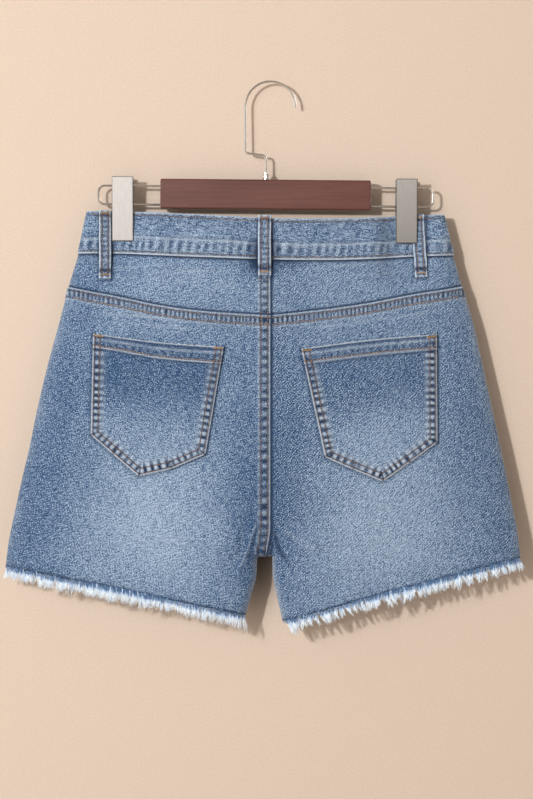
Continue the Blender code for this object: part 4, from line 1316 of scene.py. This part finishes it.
def loop_piece(loop, seed):
    length = loop.top_z - loop.bottom_z
    down = spaced(length, 1.1, 0.6, 3, 6)
    part = np.linspace(-0.5, 0.5, 19)[None, :]
    share = (down / length)[:, None]
    x = loop.top_x + (loop.bottom_x - loop.top_x) * share + loop.width * part
    x = x + 0.25 * noise_line(down, 9, seed)[:, None]
    z = loop.top_z - down[:, None] + 0 * part
    _, s, row = place_on_form(loop.face, x + 1e-6, z)
    toward = TOWARD[loop.face]
    half = "left" if loop.top_x < 0 else "right"
    base = np.stack((x, toward * form_depth(half, loop.face, s, row), z), axis=-1)
    over_band = 1.0 - smooth_step(share, 0.74, 0.92)
    lift = CLOTH + (BAND - CLOTH) * over_band + LOOP_GAP + loop.arch * np.sin(np.pi * share) ** 0.7
    normals = np.zeros_like(base)
    normals[..., 1] = toward
    edge_mm = (0.5 - np.abs(part)) * loop.width + 0 * share
    end_mm = length - down[:, None] + 0 * part
    top_mm = down[:, None] + 0 * part
    middle = bell(part, 0, 0.3)
    relief = -0.8 * bell(edge_mm, 0, 0.8) + 0.35 * bell(end_mm, 3.0, 3.0)
    relief = relief - 0.8 * bell(end_mm, 0, 0.8) - 0.8 * bell(top_mm, 0, 0.8)
    relief = relief - 0.16 * bell(np.abs(part) * loop.width, 2.9, 0.7)
    relief = relief + 0.22 * pucker(top_mm, 6.5, seed + 3) * middle
    wash = 0.42 + 0.08 * noise_area(x, z, 4, seed + 4) + 0.10 * noise_line(top_mm, 7, seed + 5)
    tug = pucker(top_mm, 5.5, seed + 3) * middle
    wear = 0.95 * bell(edge_mm, 0.8, 0.6) + 0.8 * bell(end_mm, 0.7, 0.7)
    wear = wear + 0.6 * bell(top_mm, 0.5, 0.7) + 0.36 * np.maximum(0, tug)
    # painted shade above the lower tack and below the upper one, in the stitch grooves and in the
    # troughs of the tugged cloth
    shade = 0.80 * bell(end_mm, 8.0, 2.6) + 0.60 * bell(top_mm, 5.5, 2.0)
    shade = shade + 0.64 * bell(edge_mm, 2.9, 0.9) + 0.50 * np.maximum(0, -tug)
    outer = base + normals * (lift + LOOP_WALL + relief)[..., None]
    piece = cloth_piece(loop.name.replace("belt_loop", "loop"), outer, normals, LOOP_WALL,
                        (wash, wear, shade), DENIM["loop"])
    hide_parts(loop.name)
    return piece


for index, loop in enumerate(LOOPS):
    PIECES[loop.name] = loop_piece(loop, 120 + 10 * index)
print(len(LOOPS), "belt loops")

# %% [markdown]
# ## Thread
#
# Stitches and frayed ends are all thread. Each is a short spline in one curve object whose round
# bevel gives it thickness; turning the curve into a mesh joins thousands of them into one piece.

# %% Threads from curves
def threads(name, strands, radius, material, resolution=1):
    """One mesh of many threads. A strand is a list of (point in mm, relative thickness)."""
    curve = bpy.data.curves.new(name, "CURVE")
    curve.dimensions = "3D"
    curve.bevel_depth = radius * MM
    curve.bevel_resolution = resolution
    curve.use_fill_caps = True
    for strand in strands:
        spline = curve.splines.new("POLY")
        spline.points.add(len(strand) - 1)
        for knot, (point, thickness) in zip(spline.points, strand):
            knot.co = (point[0] * MM, point[1] * MM, point[2] * MM, 1.0)
            knot.radius = thickness
    guide = bpy.data.objects.new(name + "_curve", curve)
    bpy.context.scene.collection.objects.link(guide)
    bpy.context.view_layer.update()
    ready = guide.evaluated_get(bpy.context.evaluated_depsgraph_get())
    mesh = bpy.data.meshes.new_from_object(ready)
    bpy.data.objects.remove(guide)
    welded = bmesh.new()
    welded.from_mesh(mesh)
    bmesh.ops.remove_doubles(welded, verts=welded.verts, dist=0.002 * MM)
    welded.to_mesh(mesh)
    welded.free()
    mesh.name = name
    mesh.shade_smooth()
    mesh.materials.clear()
    mesh.materials.append(material)
    piece = bpy.data.objects.new(name, mesh)
    bpy.context.scene.collection.objects.link(piece)
    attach(piece, "root")
    return piece


def thread_material(name, dark, light):
    made, n = new_material(name, 0.7, specular=0.3)
    where = n.add("ShaderNodeTexCoord").outputs["Object"]
    tint = n.ramp(n.noise(where, 260.0, 2.0), [(0.3, dark), (0.7, light)])
    n.link(tint, n.shader.inputs["Base Color"])
    n.bump(n.noise(where, 2600.0, 1.0), 0.1 * MM, 0.4)
    return made


print("Thread helper ready")

# %% Thread colours
THREAD_TAN = thread_material("thread_tan", (0.27, 0.150, 0.065), (0.56, 0.36, 0.17))
THREAD_BROWN = thread_material("thread_brown", (0.15, 0.085, 0.042), (0.38, 0.24, 0.12))
THREAD_ORANGE = thread_material("thread_orange", (0.74, 0.38, 0.10), (0.92, 0.58, 0.22))
THREAD_NAVY = thread_material("thread_navy", (0.025, 0.045, 0.085), (0.055, 0.085, 0.14))
print("Thread colours: tan, brown, orange and navy")

# %% One stitch, one row, one bartack
# knots of a stitch: place from one end (-1) to the other (1), height over the cloth, thickness
STITCH_SHAPE = ((-1, -0.16, 0.7), (-0.5, 0.12, 1.0), (0.5, 0.12, 1.0), (1, -0.16, 0.7))


def along_path(path, pitch):
    """Points at an even pitch along a polyline of (x, z), with the direction at each."""
    path = np.asarray(path, float)
    length = np.concatenate(([0.0], np.cumsum(np.hypot(*np.diff(path, axis=0).T))))
    places = np.arange(pitch / 2, length[-1], pitch)
    x, z = np.interp(places, length, path[:, 0]), np.interp(places, length, path[:, 1])
    ahead = np.minimum(places + 0.5, length[-1])
    behind = np.maximum(places - 0.5, 0)
    dx = np.interp(ahead, length, path[:, 0]) - np.interp(behind, length, path[:, 0])
    dz = np.interp(ahead, length, path[:, 1]) - np.interp(behind, length, path[:, 1])
    size = np.hypot(dx, dz)
    return zip(x, z, dx / size, dz / size)


def stitch_row(tree, face, path, pitch=3.1, length=2.0, seed=0):
    """Strands for one row of stitches that lies on the cloth."""
    rng = np.random.default_rng(seed)
    strands = []
    for x, z, dx, dz in along_path(path, pitch):
        half_length = length / 2 * rng.uniform(0.9, 1.1)
        turn = rng.normal(0, 0.05)
        dx, dz = dx - dz * turn, dz + dx * turn
        strand = []
        for place, lift, thickness in STITCH_SHAPE:
            reach = half_length * place
            hit, normal = land(tree, face, x + dx * reach, z + dz * reach)
            if hit is None:
                break
            strand.append((hit + normal * lift, thickness))
        if len(strand) == len(STITCH_SHAPE):
            strands.append(strand)
    return strands


def bartack(tree, face, x, z, width, height, slant=0.0, count=17):
    """A dense zigzag that fastens a corner."""
    strand = []
    for index in range(count):
        share = index / (count - 1) - 0.5
        side = height / 2 if index % 2 else -height / 2
        at_x, at_z = x + share * width, z + share * width * slant + side
        hit, normal = land(tree, face, at_x, at_z)
        if hit is None:
            return []
        strand.append((hit + normal * 0.35, 1.0))
    return [strand]


print("Stitches have", len(STITCH_SHAPE), "knots")

# %% Where the rows of stitches run
def seam_path(half, face, row, offset, start=0.004, end=0.985, count=60):
    """A line across a half, offset millimetres below a named row."""
    s = np.linspace(start, end, count)
    x, z = flat_place(half, face, s, np.full(count, float(row)))
    return np.stack((x, z - offset), axis=-1)


def seat_path(offset, start, end, face="back"):
    """A line down the centre seam, offset to the left of it, between two heights."""
    rows = np.linspace(0.05, ROW["crotch"], 300)
    x = blend_column("left", "inner_x", rows)
    z = flat_place("left", face, np.zeros(300), rows)[1]
    keep = (z < start) & (z > end)
    return np.stack((x[keep] - offset, z[keep]), axis=-1)


print("Seam paths ready")

# %% Stitches of the seams, hems and fly
SEAM_INSETS = (2.9, FELL - 1.0)              # the two rows of a felled seam, from its fold
BAND_INSET = 3.4
STAY_ROW, STAY_LIFT = 12.98, -2.0            # the hem's stay stitching, just above the raw edge
FLY_X, FLY_TURN_Z, FLY_WIDE, FLY_TALL = -35.0, -286, 32, 34
brown, tan, orange, navy = [], [], [], []
trees = {"back": tree_of("back_left", "back_right", "yoke_left", "yoke_right"),
         "front": tree_of("front_left", "front_right")}
band_tree = tree_of("waistband")
for half, seed in (("left", 200), ("right", 240)):
    for face in TOWARD:
        brown += stitch_row(band_tree, face, seam_path(half, face, 0, BAND_INSET), seed=seed)
        brown += stitch_row(band_tree, face, seam_path(half, face, 1, -BAND_INSET), seed=seed + 1)
    for offset, rows in ((2.9, brown), (FELL - 0.9, tan)):
        path = seam_path(half, "back", ROW["yoke_seam"], offset)
        rows += stitch_row(trees["back"], "back", path, seed=seed + 2)
    for face, stay_seed in (("back", seed + 3), ("front", seed + 4)):
        path = seam_path(half, face, STAY_ROW, STAY_LIFT)
        navy += stitch_row(trees[face], face, path, 2.6, 2.4, seed=stay_seed)
for offset in SEAM_INSETS:
    brown += stitch_row(trees["back"], "back", seat_path(offset, -196, -470), seed=260)
    path = seat_path(offset, -322, -470, "front")
    tan += stitch_row(trees["front"], "front", path, seed=262)
brown += stitch_row(trees["front"], "front", seat_path(2.6, -190, -318, "front"), seed=263)
fly = [(FLY_X, -190.0)]
for turn in np.linspace(0, math.pi / 2, 9):
    fly.append((FLY_X + FLY_WIDE * (1 - math.cos(turn)), FLY_TURN_Z - FLY_TALL * math.sin(turn)))
for inset in (0.0, 6.0):
    path = [(x + inset * (x < -5), z + inset * (z < -300)) for x, z in fly]
    brown += stitch_row(trees["front"], "front", path, seed=264)
print(len(brown) + len(tan), "stitches in the seams and fly")

# %% Stitches of the pockets and loops
for half in HALVES:
    tree = tree_of("back_pocket_" + half)
    for inset, seed in ((2.0, 270), (7.2, 272)):
        brown += stitch_row(tree, "back", inset_outline(half, inset), seed=seed)
    top = POCKETS[half][0]
    wide, fall = top.right_x - top.left_x, top.right_z - top.left_z
    part = np.linspace(0.02, 0.985, 40)
    below = hem_stitch(half, part)
    hem_z = top.left_z + fall * part - below - pocket_place(half, part, below)
    path = np.stack((top.left_x + wide * part, hem_z), axis=-1)
    tan += stitch_row(tree, "back", path, seed=274)
    slope = fall / wide
    for x in (top.left_x + 6.0, top.right_x - 6.0):
        z = top.left_z + (x - top.left_x) * slope - 2.4
        orange += bartack(tree, "back", x, z, 8.5, 1.2, slope, 19)

for loop in LOOPS:
    tree = tree_of(loop.name)
    for offset in (-2.9, 2.9):
        path = [(loop.top_x + offset, loop.top_z - 1.5),
                (loop.bottom_x + offset, loop.bottom_z + 5.0)]
        brown += stitch_row(tree, loop.face, path, 2.9, 2.2, seed=280)
    orange += bartack(tree, loop.face, loop.top_x, loop.top_z - 3.0, 7.5, 1.5)
    orange += bartack(tree, loop.face, loop.bottom_x, loop.bottom_z + 4.0, 7.5, 1.5)
print(len(tan) + len(brown), "topstitches,", len(orange), "bartacks,", len(navy), "hem stitches")

# %% Stitches into pieces
STITCHES = [
    threads("topstitching", tan, 0.50, THREAD_TAN),
    threads("brown_topstitching", brown, 0.48, THREAD_BROWN),
    threads("bartacks", orange, 0.42, THREAD_ORANGE, 0),
    threads("hem_stay_stitching", navy, 0.36, THREAD_NAVY, 0),
]
print("Stitch pieces:", ", ".join(piece.name for piece in STITCHES))

# %% [markdown]
# ## Frayed hem
#
# The hem was cut and left raw. Crosswise threads have washed away, so the lengthwise ones hang
# free: pale blue at the root, white at the tip, drawn together in tufts, some of them curled.

# %% Frayed cotton
def fringe_material():
    made, n = new_material("frayed_threads", 0.9, specular=0.15)
    n.shader.inputs["Sheen Weight"].default_value = 0.2
    where = n.add("ShaderNodeTexCoord").outputs["Object"]
    strand = n.math("SUBTRACT", n.noise(n.stretched(where, (760, 760, 110)), 1.0, 1.0), 0.5)
    level = n.math("ADD", n.tone()[0], n.math("MULTIPLY", strand, 1.9))
    colour = n.ramp(level, [(0.05, (0.09, 0.19, 0.37)), (0.38, (0.56, 0.73, 0.96)),
                            (0.62, (0.86, 0.94, 1.0))])
    n.link(colour, n.shader.inputs["Base Color"])
    # painted light: a little emission in the threads' own colour makes them glow
    n.link(colour, n.shader.inputs["Emission Color"])
    n.shader.inputs["Emission Strength"].default_value = 0.18
    return made


FRAYED = fringe_material()
print("Finish:", FRAYED.name)

# %% Tufts and curled ends
FRINGE = 11.6               # a tuft's mean length from the point where it leaves the cloth
HEM_WIDTH = 245.0
ROOT_DEPTH = 3.0            # how far a thread starts inside the cloth
CURLED_ENDS = 44
THREAD_STEPS, CURL_STEPS = 6, 8      # straight stretches in each kind of thread


def hem_spot(half, face, place):
    """A point on the hem, place millimetres along it, the direction along the hem there and the
    direction straight out of it in the panel's plane."""
    shares = np.clip(np.array([place - 0.4, place, place + 0.4]) / HEM_WIDTH, 0.002, 0.998)
    points = form_points(half, face, shares, np.full(len(shares), ROW["hem"] - 0.01))
    along = np.gradient(points[:, [0, 2]], axis=0) * OUTWARD[half]
    along /= np.linalg.norm(along, axis=1, keepdims=True)
    away = np.stack((along[:, 1], -along[:, 0]), axis=-1)
    away[away[:, 1] > 0] *= -1
    return points[1], along[1], away[1]


def hanging_threads(half, face, seed, rng):
    """Threads in tufts; those of one tuft are drawn together towards one tip."""
    centres = [1.5]
    while centres[-1] < HEM_WIDTH - 2.0:
        centres.append(centres[-1] + rng.uniform(1.7, 3.3))
    strands = []
    for centre in centres:
        uneven = 1.0 + 0.22 * noise_line(np.array([centre]), 12, seed + 1)[0]
        reach = FRINGE * uneven * rng.uniform(0.80, 1.10)
        lean = rng.normal(0, 0.26)
        count = rng.integers(8, 13)
        spread = rng.uniform(1.5, 2.8)
        tip = centre + rng.normal(0, 0.5)
        for _ in range(count):
            start = np.clip(centre + rng.uniform(-spread, spread), 0.6, HEM_WIDTH - 0.6)
            end = tip + (start - centre) * rng.uniform(0.1, 0.5)
            root, along, away = hem_spot(half, face, start)
            length = reach * rng.uniform(0.6, 1.08)
            curl, phase = rng.normal(0, 0.75), rng.uniform(0, 6.3)
            lift = CLOTH * rng.uniform(0.15, 1.25)
            strand = []
            for step in range(THREAD_STEPS + 1):
                t = step / THREAD_STEPS
                sideways = (end - start) * t**1.4 + lean * length * t
                sideways += curl * math.sin(3.5 * t + phase) * t
                out = length * t * (1 - 0.06 * abs(curl)) - ROOT_DEPTH * (1 - t)
                flat = along * sideways + away * out
                y = root[1] + TOWARD[face] * (lift + 0.7 * t * math.sin(2.2 * t + phase))
                strand.append(((root[0] + flat[0], y, root[2] + flat[1]), 1.0 - 0.3 * t))
            strands.append(strand)
    return strands


def curled_threads(half, face, rng):
    """Curled ends that lie up over the hem."""
    strands = []
    for _ in range(CURLED_ENDS):
        root, along, away = hem_spot(half, face, rng.uniform(4, HEM_WIDTH - 4))
        size, phase = rng.uniform(2.0, 4.2), rng.uniform(0, 6.3)
        strand = []
        for step in range(CURL_STEPS + 1):
            t = step / CURL_STEPS
            angle = phase + t * rng.uniform(3.0, 4.6)
            flat = along * (size * math.cos(angle) * (0.5 + t))
            flat = flat + away * (1.5 + size * math.sin(angle))
            y = root[1] + TOWARD[face] * (CLOTH * 1.4 + 0.8 * math.sin(2 * angle))
            strand.append(((root[0] + flat[0], y, root[2] + flat[1]), 0.8))
        strands.append(strand)
    return strands


def fringe_strands(half, face, seed):
    rng = np.random.default_rng(seed)
    return hanging_threads(half, face, seed, rng) + curled_threads(half, face, rng)


print("Tufts reach", FRINGE - ROOT_DEPTH, "mm to", FRINGE, "mm")

# %% Fringe pieces
def fringe_piece(half):
    strands = fringe_strands(half, "back", 300) + fringe_strands(half, "front", 330)
    piece = threads("frayed_hem_" + half, strands, 0.24, FRAYED, 0)
    # the tone is 0 at the hem's line, where the threads are blue, and grows down to their tips
    mesh = piece.data
    places = np.empty(len(mesh.vertices) * 3)
    mesh.vertices.foreach_get("co", places)
    places = places.reshape(-1, 3) / MM
    s = np.linspace(0, 1, 200)
    hem_x, hem_z = flat_place(half, "back", s, np.full(200, ROW["hem"] - 0.02))
    order = np.argsort(hem_x)
    drop = np.interp(places[:, 0], hem_x[order], hem_z[order]) - places[:, 2]
    colours = np.ones((len(mesh.vertices), 4))
    colours[:, 0] = 0.70 * np.clip((drop - 0.4) / 4.5, 0, 1)
    attribute = mesh.color_attributes.new("tone", "FLOAT_COLOR", "POINT")
    attribute.data.foreach_set("color", colours.ravel())
    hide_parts("fringe_" + half)
    return piece


FRINGES = {half: fringe_piece(half) for half in HALVES}
print("Fringe:", [len(piece.data.polygons) for piece in FRINGES.values()], "faces")

# %% [markdown]
# ## Hard pieces
#
# The wooden bar, the wires, the clips, the button and the zip are already the right shape in the
# model, so they keep their meshes and get their finishes here.

# %% Wood
def finish_nodes(material, *names):
    for name in names:
        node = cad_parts[name]
        node.data.materials.clear()
        node.data.materials.append(material)
    print(material.name, "on", len(names), "pieces")


def stained_wood():
    """Dark red-brown stain over long streaks and short pores, under thin varnish."""
    made, n = new_material("stained_wood", 0.42, specular=0.4)
    where = n.add("ShaderNodeTexCoord").outputs["Object"]
    streaks = n.noise(n.stretched(where, (14, 260, 420)), 1.0, 5.0, 0.62)
    pores = n.noise(n.stretched(where, (60, 900, 1500)), 1.0, 2.0, 0.6)
    broad = n.noise(n.stretched(where, (9, 60, 60)), 1.0, 2.0, 0.5)
    level = n.math("ADD", n.math("MULTIPLY", streaks, 0.6), n.math("MULTIPLY", broad, 0.4))
    colour = n.ramp(level, [(0.30, (0.104, 0.034, 0.028)), (0.52, (0.146, 0.052, 0.043)),
                            (0.75, (0.190, 0.075, 0.062))])
    dark = n.math("GREATER_THAN", pores, 0.63)
    colour = n.blend(n.math("MULTIPLY", dark, 0.30), colour, (0.06, 0.018, 0.012))
    n.link(colour, n.shader.inputs["Base Color"])
    n.shader.inputs["Coat Weight"].default_value = 0.25
    n.shader.inputs["Coat Roughness"].default_value = 0.3
    n.bump(n.math("ADD", streaks, pores), 0.12 * MM, 0.5)
    return made


finish_nodes(stained_wood(), "hanger_bar")

# %% Wire, nickel and brass
# the dark rim round a clip's plate is painted shade along its rolled edge
PLATE_RIM = 1.3 * MM
RIM_FADE = 0.6                     # share of the rim over which it darkens
RIM_SHADE_COLOUR = (0.06, 0.055, 0.05)
BRUSHED = (1400, 200, 120)         # fine marks that run down a plate


def plate_place(n, where, plate):
    """How far down a clip's plate a point is, 0 to 1, and 1 on its outline, 0 inside."""
    corners = [vertex.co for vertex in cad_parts[plate].data.vertices]
    place = n.split(where)
    rims = []
    for axis in (0, 2):
        low, high = min(co[axis] for co in corners), max(co[axis] for co in corners)
        off = n.math("ABSOLUTE", n.math("SUBTRACT", place[axis], (low + high) / 2))
        rims.append(n.math("SUBTRACT", off, (high - low) / 2 - PLATE_RIM))
    rim = n.math("DIVIDE", n.math("MAXIMUM", *rims), RIM_FADE * PLATE_RIM, clamp=True)
    down = n.math("DIVIDE", n.math("SUBTRACT", high, place["Z"]), high - low, clamp=True)
    return down, rim


def metal(name, colour, roughness, marked=(300, 300, 300), bump=0.03, plate=None, shade_down=0.0):
    """Metal with fine marks. On a clip's plate, painted shade also darkens it down its length, by
    the amount given for that plate, and draws a dark line along its rolled edge."""
    made, n = new_material(name, roughness, metallic=1.0)
    where = n.add("ShaderNodeTexCoord").outputs["Object"]
    marks = n.noise(n.stretched(where, marked), 1.0, 3.0, 0.6)
    tint = n.ramp(marks, [(0.3, scaled(colour, 0.86)), (0.7, colour)])
    if plate:
        down, rim = plate_place(n, where, plate)
        tint = n.blend(n.math("MULTIPLY", down, shade_down), tint, scaled(colour, 0.45))
        tint = n.blend(n.math("MULTIPLY", rim, 0.80), tint, RIM_SHADE_COLOUR)
    n.link(tint, n.shader.inputs["Base Color"])
    n.bump(marks, bump * MM, 0.4)
    return made


WIRE = metal("plated_wire", (0.70, 0.68, 0.65), 0.24)
# the right clip's plates take a darker copy of the nickel: painted shade for the less light they
# catch, with more painted shade down their length
NICKEL = metal("satin_nickel", (0.585, 0.58, 0.58), 0.50, BRUSHED, 0.012,
               "clip_left_back_plate", 0.12)
SHADED_NICKEL = metal("shaded_nickel", (0.52, 0.515, 0.51), 0.50, BRUSHED, 0.012,
                    "clip_right_back_plate", 0.55)
BRASS = metal("antique_brass", (0.62, 0.42, 0.20), 0.36)
finish_nodes(WIRE, "hanger_hook", "hanger_collar", "rail_left", "rail_right",
             "clip_left_spring", "clip_right_spring")
finish_nodes(NICKEL, "clip_left_back_plate", "clip_left_front_plate")
finish_nodes(SHADED_NICKEL, "clip_right_back_plate", "clip_right_front_plate")
finish_nodes(BRASS, "waist_button", "zip_slider", "zip_pull")
print("Clip plates have a rim of", PLATE_RIM / MM, "mm")

# %% Zip tape
TAPE, tape_nodes = new_material("zip_tape", 0.9, specular=0.1)
tape_where = tape_nodes.add("ShaderNodeTexCoord").outputs["Object"]
tape_nodes.link(tape_nodes.ramp(tape_nodes.noise(tape_where, 1200.0, 2.0),
                                [(0.3, (0.03, 0.05, 0.10)), (0.7, (0.07, 0.11, 0.19))]),
                tape_nodes.shader.inputs["Base Color"])
finish_nodes(TAPE, "zip_tape")
print("Hard pieces finished")

# %% [markdown]
# ## The cloth sheets
#
# The cloth pieces made above are counted.


print(len(PIECES), "sheets declared")
